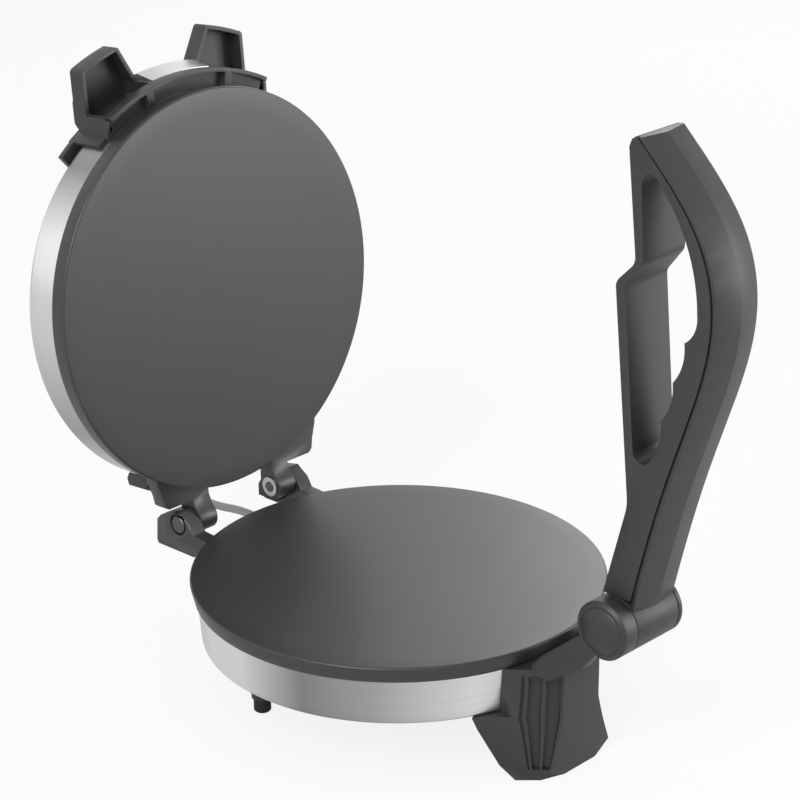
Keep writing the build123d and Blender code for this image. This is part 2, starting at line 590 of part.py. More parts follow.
def lever_pin():
    ends = (PIN_END - EAR_LEFT, EAR_RIGHT - PIN_END)
    return rod(LEVER_PIN_R, *[(x, LEVER_Y, LEVER_Z) for x in ends])


# ---- hinge ----------------------------------------------------------------------------------------
def hinge_pins():
    head_x = BLOCK_X1 - HEAD_SINK
    pin = rod(HINGE_PIN_R, (LUG_X0 - CLIP_THICK - 0.6, HINGE_Y, HINGE_Z), (head_x, HINGE_Y, HINGE_Z))
    head = rod(HINGE_HEAD_R, (head_x, HINGE_Y, HINGE_Z), (head_x + HINGE_HEAD, HINGE_Y, HINGE_Z))
    head = chamfer(head.edges().filter_by(GeomType.CIRCLE).sort_by(Axis.X)[-1], 0.6)
    return both_sides(pin + head)


def pin_clips():
    """Star washers that hold the hinge pins on the inner side of the lugs."""
    x = LUG_X0 - SEAT - CLIP_THICK
    ring = rod(CLIP_R, (x, HINGE_Y, HINGE_Z), (x + CLIP_THICK, HINGE_Y, HINGE_Z))
    ring -= rod(HINGE_PIN_R + 0.02, (x - 1, HINGE_Y, HINGE_Z), (x + 2, HINGE_Y, HINGE_Z))
    return both_sides(ring)


# ---- lever ----------------------------------------------------------------------------------------
# Side view of the lever about its pin in (y, z), standing: the inner edge from the hub up to the tip,
# the corner line of the back from the tip down to the hub, and the finger hole.
LEVER_INNER = [(8.3, 12.0), (-5.8, 64.5), (4.8, 173.6), (-6.4, 184.9), (-0.8, 238.6), (-2.3, 242.3)]
INNER_RADII = [25.0, 6.0, 7.0, 1.5]
LEVER_BACK = [(-7.5, 243.9), (-14.1, 237.5), (-30.5, 220.5), (-46.1, 197.0), (-52.3, 170.0),
              (-49.3, 142.3), (-40.6, 113.1), (-27.9, 74.4), (-17.5, 36.5), (-11.1, 10.0)]
HOLE_LEFT = [(-8.4, 222.5), (-10.9, 185.6), (-0.9, 172.8), (-8.0, 92.6)]
HOLE_RADII = [6.0, 5.0]
HOLE_TOP = [(-12.6, 227.8), (-18.7, 224.4), (-33.6, 202.2)]       # through the top and the outer side
GRIP_CUSPS = [(-41.9, 168.4), (-35.4, 153.7), (-29.7, 133.1), (-23.6, 112.4), (-18.3, 91.6)]
FINGER_DEPTH = 2.3
HOLE_FLOOR = (-13.5, 87.9)
BACK_CROWN = 2.7           # ridge of the back above its corner lines
BACK_EDGE = 1.6            # thickness of the back at its corner lines
PART_GAP = 1.4             # parting groove: height and depth
NECK_HALF = 9.5            # half width of the lever's neck, under its sides
NECK_TOP = 15.4            # and its top above the pin
LEVER_SCREWS = [(41.5, -5.0, 9.0), (79.5, -14.5, 12.0)]      # height, seat under the head, length


def at_lever(solid):
    """Puts a piece drawn about the lever's pin in its place."""
    return Pos(0, LEVER_Y, LEVER_Z) * solid


def back_line(shift):
    """The back's corner line, moved inwards by 'shift'."""
    return Spline(*[(y + shift, z) for y, z in LEVER_BACK])


def back_band(outer, inner, x):
    """Closed outline between two back lines, in the plane at x."""
    a, b = back_line(outer), back_line(inner)
    edge = a + b + Line(a @ 0, b @ 0) + Line(a @ 1, b @ 1)
    return Pos(x, 0, 0) * (BACK * make_face(edge))


def finger_hole():
    """Outline of the hole: a straight bar side with a step, round ends and scallops for the fingers."""
    outline = FilletPolyline(*HOLE_LEFT, radius=HOLE_RADII)
    outline += ThreePointArc(HOLE_LEFT[0], HOLE_TOP[0], HOLE_TOP[1])
    outline += ThreePointArc(HOLE_TOP[1], HOLE_TOP[2], GRIP_CUSPS[0])
    for start, end in zip(GRIP_CUSPS, GRIP_CUSPS[1:]):
        chord = Vector(end[0] - start[0], end[1] - start[1])
        out = Vector(chord.Y, -chord.X).normalized()
        middle = Vector(*start) + chord * 0.5 + out * FINGER_DEPTH
        outline += ThreePointArc(start, (middle.X, middle.Y), end)
    outline += ThreePointArc(GRIP_CUSPS[-1], HOLE_FLOOR, HOLE_LEFT[-1])
    return make_face(outline)


def lever_frame():
    """Loop of the lever with its hub, finger hole and bush bores."""
    back = back_line(BACK_EDGE + PART_GAP)
    inner = FilletPolyline(*LEVER_INNER, radius=INNER_RADII)
    edge = inner + Line(LEVER_INNER[-1], back @ 0) + back + Polyline(back @ 1, (0, 0), LEVER_INNER[0])
    frame = Pos(-LEVER_HALF, 0, 0) * extrude(BACK * make_face(edge), 2 * LEVER_HALF, dir=(1, 0, 0))
    frame -= Pos(-2 * LEVER_HALF, 0, 0) * extrude(BACK * finger_hole(), 4 * LEVER_HALF, dir=(1, 0, 0))
    for side in (-1, 1):
        beside = NECK_HALF + LEVER_HALF
        frame -= Pos(side * beside, 0, 0) * Box(2 * LEVER_HALF, 4 * HUB_R, 2 * NECK_TOP)
    frame += rod(HUB_R, (-LEVER_HALF, 0, 0), (LEVER_HALF, 0, 0))
    frame -= rod(BUSH_R + RUN, (-LEVER_HALF - 1, 0, 0), (LEVER_HALF + 1, 0, 0))
    for z, head_y, _ in LEVER_SCREWS:
        frame -= rod(SCREW_HEAD_R + TIP_ROOM, (0, HUB_R, z), (0, head_y, z))
        frame -= rod(SCREW_R + SCREW_ROOM, (0, HUB_R, z), (0, -3 * HUB_R, z))
    return at_lever(frame)


def lever_back():
    """Strip that closes the lever's back: a shallow ridged roof on a narrower tongue."""
    half = loft([back_band(-BACK_CROWN, BACK_EDGE, 0), back_band(0, BACK_EDGE, LEVER_HALF)], ruled=True)
    back = half + mirror(half, about=Plane.YZ)
    tongue = back_band(BACK_EDGE, BACK_EDGE + PART_GAP, PART_GAP - LEVER_HALF)
    back += extrude(tongue, 2 * (LEVER_HALF - PART_GAP), dir=(1, 0, 0))
    back -= rod(HUB_R + RUN, (-LEVER_HALF - 1, 0, 0), (LEVER_HALF + 1, 0, 0))
    for z, head_y, length in LEVER_SCREWS:
        back -= rod(SCREW_R + TAP, (0, HUB_R, z), (0, head_y - length - SEAT, z))
    return at_lever(back)


def lever_screws():
    return [at_lever(screw((0, y, z), (0, -1, 0), length)) for z, y, length in LEVER_SCREWS]


def lever_bushes():
    """Two flanged bushes between the hub and the pin."""
    bore = rod(LEVER_PIN_R + RUN, (-EAR_X0, LEVER_Y, LEVER_Z), (EAR_X0, LEVER_Y, LEVER_Z))
    bushes = []
    for side in (-1, 1):
        inner, outer = side * (LEVER_HALF - BUSH_LENGTH), side * LEVER_HALF
        bush = rod(BUSH_R, (inner, LEVER_Y, LEVER_Z), (outer, LEVER_Y, LEVER_Z))
        bushes.append(bush - bore)
    return bushes


# ---- lid ------------------------------------------------------------------------------------------
BRACKET_SCREWS = [(-30.0, 23.0), (30.0, 23.0)]
BRACKET_SCREW_LENGTH = 9.0
BRACKET_BOSS_R = 4.0


def nose_body(inset, deep):
    """Solid nose of the cap between the horns, moved in by 'inset' and open below by 'deep'."""
    root, z0, z1 = LID_SHELL_R - LID_CORNER, LIP_Z1 + SEAT - deep, LID_SHELL_Z - inset
    c = NOSE_CORNER - inset
    low, top = NOSE_LOW_R - inset, NOSE_TOP_R - inset
    edge = Polyline((root, z1), (root, z0), (low, z0), (top, z1 - c))
    edge += ThreePointArc((top, z1 - c), (top - c * ARC_SHARE, z1 - c * ARC_SHARE), (top - c, z1))
    edge += Line((top - c, z1), (root, z1))
    turned = Rot(0, 0, FRONT - NOSE_TURN / 2) * revolve(Plane.XZ * make_face(edge), Axis.Z, NOSE_TURN)
    width = 2 * (NOSE_HALF_X - inset)
    return turned & (Pos(0, -NOSE_TOP_R, z1) * Box(width, NOSE_TOP_R, 4 * z1))


def lid_shell():
    """Deep-drawn steel cap over the upper plate."""
    r, z0, z1 = LID_SHELL_R, LID_GAP + LID_RIM, LID_SHELL_Z
    outside = Polyline((0, z1 + LID_CROWN), (r * LID_KNEE, z1 + LID_CROWN * LID_KNEE), (r - LID_CORNER, z1))
    outside += ThreePointArc((r - LID_CORNER, z1), (r - LID_CORNER * ARC_SHARE, z1 - LID_CORNER * ARC_SHARE),
                             (r, z1 - LID_CORNER))
    outside += Line((r, z1 - LID_CORNER), (r, z0))
    c = LID_CORNER - SHEET
    inside = Polyline((r, z0), (r - SHEET, z0), (r - SHEET, z1 - LID_CORNER))
    inside += ThreePointArc((r - SHEET, z1 - LID_CORNER), (r - SHEET - c * ARC_SHARE, z1 - SHEET - c * ARC_SHARE),
                            (r - LID_CORNER, z1 - SHEET))
    inside += Polyline((r - LID_CORNER, z1 - SHEET), (r * LID_KNEE, z1 + LID_CROWN * LID_KNEE - SHEET),
                       (0, z1 + LID_CROWN - SHEET), (0, z1 + LID_CROWN))
    cap = revolve(Plane.XZ * make_face(outside + inside), Axis.Z)
    for x, y in around(POST_COUNT, POST_CIRCLE, POST_ANGLE):
        cap -= rod(SCREW_R + SCREW_ROOM, (x, y, z1 - 5), (x, y, z1 + 5))
    cap -= rod(GROMMET_R, (CABLE_X, CABLE_ENTRY_Y, z1 - 5), (CABLE_X, CABLE_ENTRY_Y, z1 + 5))
    for x, z in BRACKET_SCREWS:
        cap -= rod(SCREW_R + SCREW_ROOM, (x, -0.8 * r, z), (x, -1.1 * r, z))
    hollow = nose_body(SHEET, SHEET) + Pos(0, 0, z1 / 2 - SHEET) * Cylinder(r - SHEET, z1)
    return cap + (nose_body(0, 0) - hollow)


def cap_top(r):
    """Height of the cap's top face at radius r."""
    edge = LID_SHELL_R - LID_CORNER
    return LID_SHELL_Z + LID_CROWN * LID_KNEE * (edge - r) / (edge - LID_SHELL_R * LID_KNEE)


def lid_post_top():
    """Height of the steel cap's inner face above the posts."""
    return LID_SHELL_Z - SHEET - SEAT


def lid_posts():
    """Steel spacers between the upper plate's bosses and the cap."""
    z0 = LID_GAP - POST_MEET_Z
    posts = []
    for x, y in around(POST_COUNT, POST_CIRCLE, POST_ANGLE):
        post = Pos(x, y, z0) * extrude(RegularPolygon(POST_R, 6), lid_post_top() - z0)
        post -= rod(SCREW_R + SCREW_ROOM, (x, y, z0 - 1), (x, y, lid_post_top() + 1))
        posts.append(post)
    return posts


def lid_screws():
    top = cap_top(POST_CIRCLE - SCREW_HEAD_R) + SEAT
    length = top - (LID_GAP - POST_MEET_Z) + POST_THREAD
    places = around(POST_COUNT, POST_CIRCLE, POST_ANGLE)
    return [screw((x, y, top), (0, 0, -1), length) for x, y in places]


def horn(side):
    """Hollow horn beside the lever, open towards the plate."""
    tip_y = -sqrt(HORN_R ** 2 - HORN_TIP_X ** 2)
    out_y = -sqrt(HORN_R ** 2 - HORN_X1 ** 2)
    mid_x = (HORN_TIP_X + HORN_X1) / 2
    mid_y = -sqrt(HORN_R ** 2 - mid_x ** 2)
    root_y, knee_y = 8.5 - LID_SHELL_R, -8.5 - LID_SHELL_R
    edge = Polyline((HORN_X1, root_y), (HORN_X0, root_y), (HORN_X0, knee_y), (HORN_TIP_X, tip_y))
    edge += ThreePointArc((HORN_TIP_X, tip_y), (mid_x, mid_y), (HORN_X1, out_y))
    edge += Line((HORN_X1, out_y), (HORN_X1, root_y))
    plan = make_face(edge)
    tips = [v for v in plan.vertices() if v.Y < knee_y - 1]
    plan = fillet(tips, HORN_CORNER)
    height = HORN_Z1 - HORN_Z0
    body = Pos(0, 0, HORN_Z0) * extrude(plan, height, dir=(0, 0, 1))
    rim = body.faces().sort_by(Axis.Z)[-1].edges().filter_by(lambda e: e.center().Y < root_y - 4)
    body = chamfer(rim, 1.4)
    cavity_plan = offset(plan, -BRACKET_WALL) - Circle(LID_SHELL_R + SEAT + BRACKET_WALL)
    cavity = Pos(0, 0, HORN_Z0 - 1) * extrude(cavity_plan, height - BRACKET_WALL + 1, dir=(0, 0, 1))
    body -= cavity
    return body if side > 0 else mirror(body, about=Plane.YZ)


def horn_walls(side):
    """Walls of the bracket under one horn: on the cap, beside the nose and on the outer side."""
    r_in, wall = LID_SHELL_R + SEAT, BRACKET_WALL
    start = degrees(asin((HORN_X0 + wall) / r_in))
    half, foot = (BRACKET_HALF - start) / 2, LIP_Z1 - wall
    walls = sector([(r_in, foot), (r_in + wall, foot), (r_in + wall, HORN_Z1 - 1), (r_in, HORN_Z1 - 1)],
                   FRONT + start + half, half)
    ring = Circle(BRACKET_R) - Circle(r_in + wall / 2)
    inner = Pos(HORN_X0 + wall / 2, -BRACKET_R) * Rectangle(wall, BRACKET_R)
    outer = Pos(HORN_X1 - wall / 2, -BRACKET_R) * Rectangle(wall, BRACKET_R)
    for plate in (inner, outer):
        walls += Pos(0, 0, foot) * extrude(ring & plate, HORN_Z0 + 1 - foot, dir=(0, 0, 1))
    return walls if side > 0 else mirror(walls, about=Plane.YZ)


def lid_bracket():
    """Front moulding of the lid: channel lip, walls, wings over the cap's edge and two hollow horns."""
    r_in, r_out, wall = LID_SHELL_R + SEAT, BRACKET_R, BRACKET_WALL
    bracket = sector([(r_in, LIP_Z1 - wall), (r_out - wall, LIP_Z1 - wall), (r_out - wall, LIP_Z0),
                      (r_out, LIP_Z0), (r_out, LIP_Z1), (r_in, LIP_Z1)], FRONT, LIP_HALF)
    top = LID_SHELL_Z + LID_CROWN + SEAT
    inner = degrees(asin((HORN_X0 + 1.0) / r_in))
    half = (WING_HALF - inner) / 2
    for side in (-1, 1):
        wing = FRONT + side * (inner + half)
        bracket += sector([(CAP_INNER_R, top), (r_in + wall, top), (r_in + wall, top + WING_THICK),
                           (CAP_INNER_R + 2, top + WING_THICK)], wing, half)
        bracket += horn_walls(side)
        bracket += horn(side) - Pos(0, 0, HORN_Z0 - 1) * extrude(Circle(r_in + 1.0), HORN_Z1)
        bracket += sector([(r_in, LIP_Z0), (r_out - wall + 0.5, LIP_Z0), (r_out - wall + 0.5, LIP_Z1 - 1),
                           (r_in, LIP_Z1 - 1)], FRONT + side * LIP_BOSS_ANGLE, LIP_BOSS_HALF / 2)
    for x, z in BRACKET_SCREWS:
        face_y = -sqrt(LID_SHELL_R ** 2 - x ** 2)
        boss = rod(BRACKET_BOSS_R, (x, face_y + 6, z), (x, face_y - 8, z))
        bracket += boss - Pos(0, 0, z) * Cylinder(r_in + wall / 2, 20)
        bracket -= rod(SCREW_R + TAP, (x, face_y + 6, z), (x, face_y - BRACKET_SCREW_LENGTH, z))
    return bracket


def bracket_screws():
    screws = []
    for x, z in BRACKET_SCREWS:
        head_y = SEAT - sqrt((LID_SHELL_R - SHEET) ** 2 - (abs(x) + SCREW_HEAD_R) ** 2)
        screws.append(screw((x, head_y + 0.1, z), (0, -1, 0), BRACKET_SCREW_LENGTH))
    return screws


def lid_rear_brackets():
    """Black guards on the lid's shell, one outside each neck."""
    half = (REAR_ANGLES[1] - REAR_ANGLES[0]) / 2
    middle = 90 - (REAR_ANGLES[0] + REAR_ANGLES[1]) / 2
    r_in = LID_SHELL_R + SEAT
    guard = sector([(r_in, REAR_Z0), (REAR_R - 1.5, REAR_Z0), (REAR_R, REAR_Z0 + 1.5), (REAR_R, REAR_Z1 - 3),
                    (REAR_R - 3, REAR_Z1), (r_in, REAR_Z1)], middle, half)
    return both_sides(guard)


# ---- link flex ------------------------------------------------------------------------------------
def grommet_y():
    """y of the outer face of the base's grommet."""
    return shell_y(CABLE_X, CABLE_EXIT_Z) + GROMMET_REACH


def base_link_grommet():
    y1 = grommet_y()
    y0 = y1 - 9.2
    body = rod(GROMMET_R - RUN, (CABLE_X, y0, CABLE_EXIT_Z), (CABLE_X, y1, CABLE_EXIT_Z))
    collar = rod(GROMMET_R + 1.0, (CABLE_X, y0 + 3, CABLE_EXIT_Z), (CABLE_X, y1 - 1.4, CABLE_EXIT_Z))
    return body + (collar - shell_cone(RUN))


def lid_link_grommet():
    top = LID_SHELL_Z + LID_CROWN
    x, y = CABLE_X, CABLE_ENTRY_Y
    body = rod(GROMMET_R - RUN, (x, y, LID_SHELL_Z - 3), (x, y, top + 2.6))
    return body + rod(GROMMET_R + 1.4, (x, y, LID_SHELL_Z + 0.45), (x, y, top + 1.2))


# Route of the flex in (y, z) with the lid open: along the counter side of the hinge to the rear,
# round a bend behind the lid and back into the lid's cap.
CABLE_RUN = [(124.0, -10.6), (137.0, -10.9), (151.0, -13.0), (165.0, -13.4), (179.0, -10.0),
             (188.5, 1.0), (187.5, 15.5), (178.0, 25.0)]
CABLE_LEAD = 7.0           # straight run out of each grommet


def link_cable():
    """Sleeved flex from the base's rear to the lid's back, with the lid open."""
    (end_y, end_z), tilt = cable_entry(), radians(LID_OPEN - 90)
    lead_out = (grommet_y() + CABLE_LEAD, CABLE_EXIT_Z)
    lead_in = (end_y + CABLE_LEAD * cos(tilt), end_z - CABLE_LEAD * sin(tilt))
    route = [(grommet_y(), CABLE_EXIT_Z), lead_out, *CABLE_RUN, lead_in, (end_y, end_z)]
    path = Pos(CABLE_X, 0, 0) * (BACK * FilletPolyline(*route, radius=bend_radii(route)))
    face = Plane(origin=(CABLE_X, *route[0]), z_dir=(0, 1, 0)) * Circle(CABLE_R)
    return sweep(face, path=path)


def bend_radii(route):
    """The largest arc at each inner point that leaves a tenth of the shorter run straight."""
    radii = []
    for (y0, z0), (y1, z1), (y2, z2) in zip(route, route[1:], route[2:]):
        turn = abs(atan2(z2 - z1, y2 - y1) - atan2(z1 - z0, y1 - y0))
        turn = min(turn, radians(360) - turn)
        shorter = min(hypot(y1 - y0, z1 - z0), hypot(y2 - y1, z2 - z1))
        radii.append(0.45 * shorter / tan(turn / 2))
    print("flex radii", [round(r, 1) for r in radii])
    return radii


def cable_entry():
    """World (y, z) of the outer face of the lid's grommet, with the lid open."""
    a = radians(LID_OPEN)
    dy = CABLE_ENTRY_Y - HINGE_Y
    dz = LID_SHELL_Z + LID_CROWN + 2.6 - HINGE_Z
    return (HINGE_Y + dy * cos(a) + dz * sin(a), HINGE_Z - dy * sin(a) + dz * cos(a))


# ---- assembly -------------------------------------------------------------------------------------
def behind_lid_plate(solid):
    """Takes a piece drawn under an upward plate to the upper plate."""
    return Pos(0, 0, LID_GAP) * mirror(solid, about=Plane.XY)


BASE = {
    "base_plate": base_plate,
    "base_shell": base_shell,
    "base_cover": base_cover,
    "foot_pads": foot_pads,
    "cover_screws": cover_screws,
    "base_heater": heater,
    "base_heater_clamp": heater_clamp,
    "base_clamp_screws": clamp_screws,
    "thermostat": thermostat,
    "terminal_block": terminal_block,
    "cord_gland": cord_gland,
    "front_leg": front_leg,
    "leg_screws": leg_screws,
    "lever_pin": lever_pin,
    "pivot_caps": pivot_caps,
    "hinge_pins": hinge_pins,
    "pin_clips": pin_clips,
    "base_link_grommet": base_link_grommet,
    "link_cable": link_cable,
}
LEVER = {
    "lever_frame": lever_frame,
    "lever_back": lever_back,
    "lever_screws": lever_screws,
    "lever_bushes": lever_bushes,
}
LID = {
    "lid_plate": lid_plate,
    "lid_shell": lid_shell,
    "lid_posts": lid_posts,
    "lid_screws": lid_screws,
    "lid_bracket": lid_bracket,
    "bracket_screws": bracket_screws,
    "lid_rear_brackets": lid_rear_brackets,
    "lid_link_grommet": lid_link_grommet,
}
LID_INSIDE = {
    "lid_heater": heater,
    "lid_heater_clamp": heater_clamp,
    "lid_clamp_screws": clamp_screws,
    "lid_thermal_fuse": thermal_fuse,
}


def solids_of(made):
    """The solids that a sub-part's function returns, as a flat list."""
    found = made if isinstance(made, list) else [made]
    return [solid for piece in found for solid in piece.solids()]


def write(name, solids):
    whole = solids[0] if len(solids) == 1 else Compound(children=solids)
    export_step(whole, f"parts/{name}.step")


def main():
    os.makedirs("parts", exist_ok=True)
    for name, make in {**BASE, **LEVER}.items():
        write(name, [stand(s) for s in solids_of(make())])
    for name, make in LID.items():
        write(name, [stand(open_lid(s)) for s in solids_of(make())])
    for name, make in LID_INSIDE.items():
        write(name, [stand(open_lid(behind_lid_plate(s))) for s in solids_of(make())])


main()
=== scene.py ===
import json
import math
import bmesh
import bpy
import numpy as np
from bpy.props import FloatProperty, FloatVectorProperty, PointerProperty
from bpy.types import Operator, Panel, PropertyGroup
from mathutils import Matrix, Vector
from mathutils.kdtree import KDTree


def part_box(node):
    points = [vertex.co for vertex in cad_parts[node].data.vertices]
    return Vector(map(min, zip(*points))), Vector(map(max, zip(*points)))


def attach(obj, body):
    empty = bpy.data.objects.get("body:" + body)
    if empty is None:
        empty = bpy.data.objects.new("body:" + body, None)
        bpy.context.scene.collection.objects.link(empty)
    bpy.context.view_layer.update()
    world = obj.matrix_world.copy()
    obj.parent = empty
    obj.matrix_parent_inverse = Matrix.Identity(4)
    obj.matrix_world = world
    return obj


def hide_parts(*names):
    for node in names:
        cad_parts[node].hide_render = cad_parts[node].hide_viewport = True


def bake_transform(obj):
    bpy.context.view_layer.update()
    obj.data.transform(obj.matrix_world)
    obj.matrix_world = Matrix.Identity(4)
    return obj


bl_info = {
    "name": "Roti maker dress",
    "version": (1, 0, 0),
    "blender": (4, 5, 0),
    "location": "View3D > Sidebar > Roti maker",
    "description": "Dresses the packed model of an electric roti maker: surfaces, finishes and a studio",
    "category": "Object",
}

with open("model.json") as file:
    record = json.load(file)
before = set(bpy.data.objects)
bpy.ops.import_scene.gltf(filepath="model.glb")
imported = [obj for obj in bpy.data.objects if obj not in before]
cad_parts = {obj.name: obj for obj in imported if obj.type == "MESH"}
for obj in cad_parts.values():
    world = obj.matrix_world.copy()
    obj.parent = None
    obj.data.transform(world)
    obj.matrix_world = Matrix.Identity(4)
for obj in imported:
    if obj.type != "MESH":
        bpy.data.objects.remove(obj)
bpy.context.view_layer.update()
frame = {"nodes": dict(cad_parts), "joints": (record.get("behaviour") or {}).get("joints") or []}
MM = 0.001
FULL_TURN = 2 * math.pi

# ---- places taken from the frame ------------------------------------------------------------------
JOINTS = {joint["name"]: joint for joint in frame["joints"]}
HINGE = Vector(JOINTS["lid_hinge"]["pos_m"])
PIVOT = Vector(JOINTS["lever_pivot"]["pos_m"])
LID_OPEN = math.radians(JOINTS["lid_hinge"]["range_deg"][1])
SHELL_LOW, SHELL_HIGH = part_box("base_shell")
PLATE_AXIS = Vector(((SHELL_LOW.x + SHELL_HIGH.x) / 2, (SHELL_LOW.y + SHELL_HIGH.y) / 2, 0))
LID_TURN = Matrix.Translation(HINGE) @ Matrix.Rotation(-LID_OPEN, 4, "X") @ Matrix.Translation(-HINGE)

# Matrices that bring the lever's and the hinge's axis onto local Z.
LEVER_AXIS = Matrix.Rotation(-math.pi / 2, 4, "Y") @ Matrix.Translation(-PIVOT)
HINGE_AXIS = Matrix.Rotation(-math.pi / 2, 4, "Y") @ Matrix.Translation(-HINGE)

# ---- sizes, mm ------------------------------------------------------------------------------------
# The skins are drawn about the plates' axis, with the lower plate's face at z = 0 and the lid closed.
PLATE_TOP_Z = 68.0                   # the lower plate's face above the counter
PLATE_R = 110.0
EDGE_R = 1.2                         # rounding of a plate's upper edge
FOOT_R = 0.5                         # and of its skirt's lower edge
RIM_BAND = 12.0                      # plain ring of the face inside its edge
SKIRT, SKIRT_SLOPE = 4.0, 1.0        # width of a skirt's foot, and how far its inner side leans
WEB = 4.3
BASE_RIM, BASE_TAPER = 8.65, 1.75    # height of the lower plate's skirt, and how much it narrows
LID_RIM, LID_TAPER = 9.8, 0.7        # the same of the upper plate
LID_GAP = 0.35                       # between the closed plates
SKIN = 0.03                          # a skin stands out of its solid by this much

SHEET = 0.8
BAND_TOP_R, BAND_LOW_R, BAND_LOW_Z = 106.6, 104.7, -34.2
BAND_DROP, BAND_IN = 7.0, 0.5        # a ring on the band's cone: this far down and in from its top
BAND_CORNER, BAND_FLANGE = 2.2, 6.0
CAP_R, CAP_TOP_Z = 108.5, 33.4
CAP_RING = 8.0                       # a ring on the cap's wall, above its lower edge
CAP_CORNER, CAP_CROWN = 6.0, 1.4
CAP_KNEE = 0.6                       # the crown changes slope at this share of the radius
CAP_SKIN = 0.32                      # thickness of the cap's skin

CHEEK_X, CHEEK_WALL = 57.2, 2.4      # outer walls of the bracket, where they meet the cap
CHEEK = [(-104.0, 13.0), (-104.0, 30.0), (-112.0, 39.4), (-100.0, 39.4), (-92.8, 33.0), (-92.8, 13.0)]

# Route of the link flex with the lid open, (y, z); its end stands on the closed lid's top.
FLEX_X, FLEX_R = 12.0, 2.3
FLEX_START = (108.3, -13.8)
FLEX_RUN = [(115.3, -13.8), (124.0, -11.6), (137.0, -12.0), (151.0, -14.6), (165.0, -15.4),
            (179.0, -11.5), (188.5, 0.5), (187.5, 15.5), (178.0, 25.0)]
FLEX_END, FLEX_LEAD = (95.0, 37.4), 7.0
BRAID_STRANDS = 8

UP = Matrix.Translation(Vector((PLATE_AXIS.x, PLATE_AXIS.y, PLATE_TOP_Z * MM)))
LID_UP = LID_TURN @ UP

# ---- how meshes are made --------------------------------------------------------------------------
MERGE = 0.002 * MM                   # points of a solid's copy closer than this are one
POLE_MERGE, SLIVER = 0.0005 * MM, 0.0002 * MM  # points of a skin closer than this, and its thinnest face
FLAT_ANGLE = 0.4                     # faces of a copy that meet under this many degrees are one
CHORD_TOLERANCE = 0.004 * MM         # two ends this alike lie on one circle
CHORD_SHARE = 0.30                   # a chord is shorter than this share of its radius
BEVEL_SEGMENTS = 3
SHARP_ANGLE = 32.0                   # a skin's faces that meet at more than this many degrees have an edge


# ---- settings a user would change -----------------------------------------------------------------
def tint(name, value, what):
    """A colour setting."""
    return FloatVectorProperty(name=name, description=what, subtype="COLOR", size=3,
                               min=0, max=1, default=value)


class RotiColours(PropertyGroup):
    """Colours of the finishes."""

    coating: tint("Coating", (0.0250, 0.0272, 0.0305), "Non-stick coating of both cooking plates")
    steel: tint("Steel", (0.88, 0.88, 0.885), "Brushed steel of both shells")
    moulding: tint("Moulding", (0.030, 0.0305, 0.033), "Black heat-resistant mouldings")
    rubber: tint("Rubber", (0.016, 0.016, 0.016), "Pads and grommets")
    braid: tint("Braid", (0.42, 0.42, 0.43), "Wire braid over the link flex")
    floor: tint("Floor", (0.90, 0.90, 0.90), "Studio floor")


class RotiSizes(PropertyGroup):
    """Sizes of the finish details."""

    edge: FloatProperty(name="Moulded edge", description="Rounding of the mouldings' edges",
                        default=0.9 * MM, min=0.1 * MM, max=3 * MM, unit="LENGTH")
    sheet_edge: FloatProperty(name="Metal edge", description="Rounding of cast and sheet metal edges",
                              default=0.35 * MM, min=0.05 * MM, max=1.5 * MM, unit="LENGTH")
    grain: FloatProperty(name="Grain depth", description="Depth of the mouldings' fine texture",
                         default=0.05 * MM, min=0, max=0.5 * MM, unit="LENGTH")


# ---- shader maths ---------------------------------------------------------------------------------
class Value:
    """A node socket that can be used in Python arithmetic; each operation adds a Math node."""

    def __init__(self, tree, socket):
        self.tree, self.socket = tree, socket

    def _join(self, operation, left, right):
        node = self.tree.nodes.new("ShaderNodeMath")
        node.operation = operation
        for slot, item in zip(node.inputs, (left, right)):
            if isinstance(item, Value):
                self.tree.links.new(item.socket, slot)
            else:
                slot.default_value = item
        return Value(self.tree, node.outputs[0])

    def __add__(self, other):
        return self._join("ADD", self, other)

    def __sub__(self, other):
        return self._join("SUBTRACT", self, other)

    def __rsub__(self, other):
        return self._join("SUBTRACT", other, self)

    def __mul__(self, other):
        return self._join("MULTIPLY", self, other)

    def __truediv__(self, other):
        return self._join("DIVIDE", self, other)

    def __rtruediv__(self, other):
        return self._join("DIVIDE", other, self)

    __radd__ = __add__
    __rmul__ = __mul__


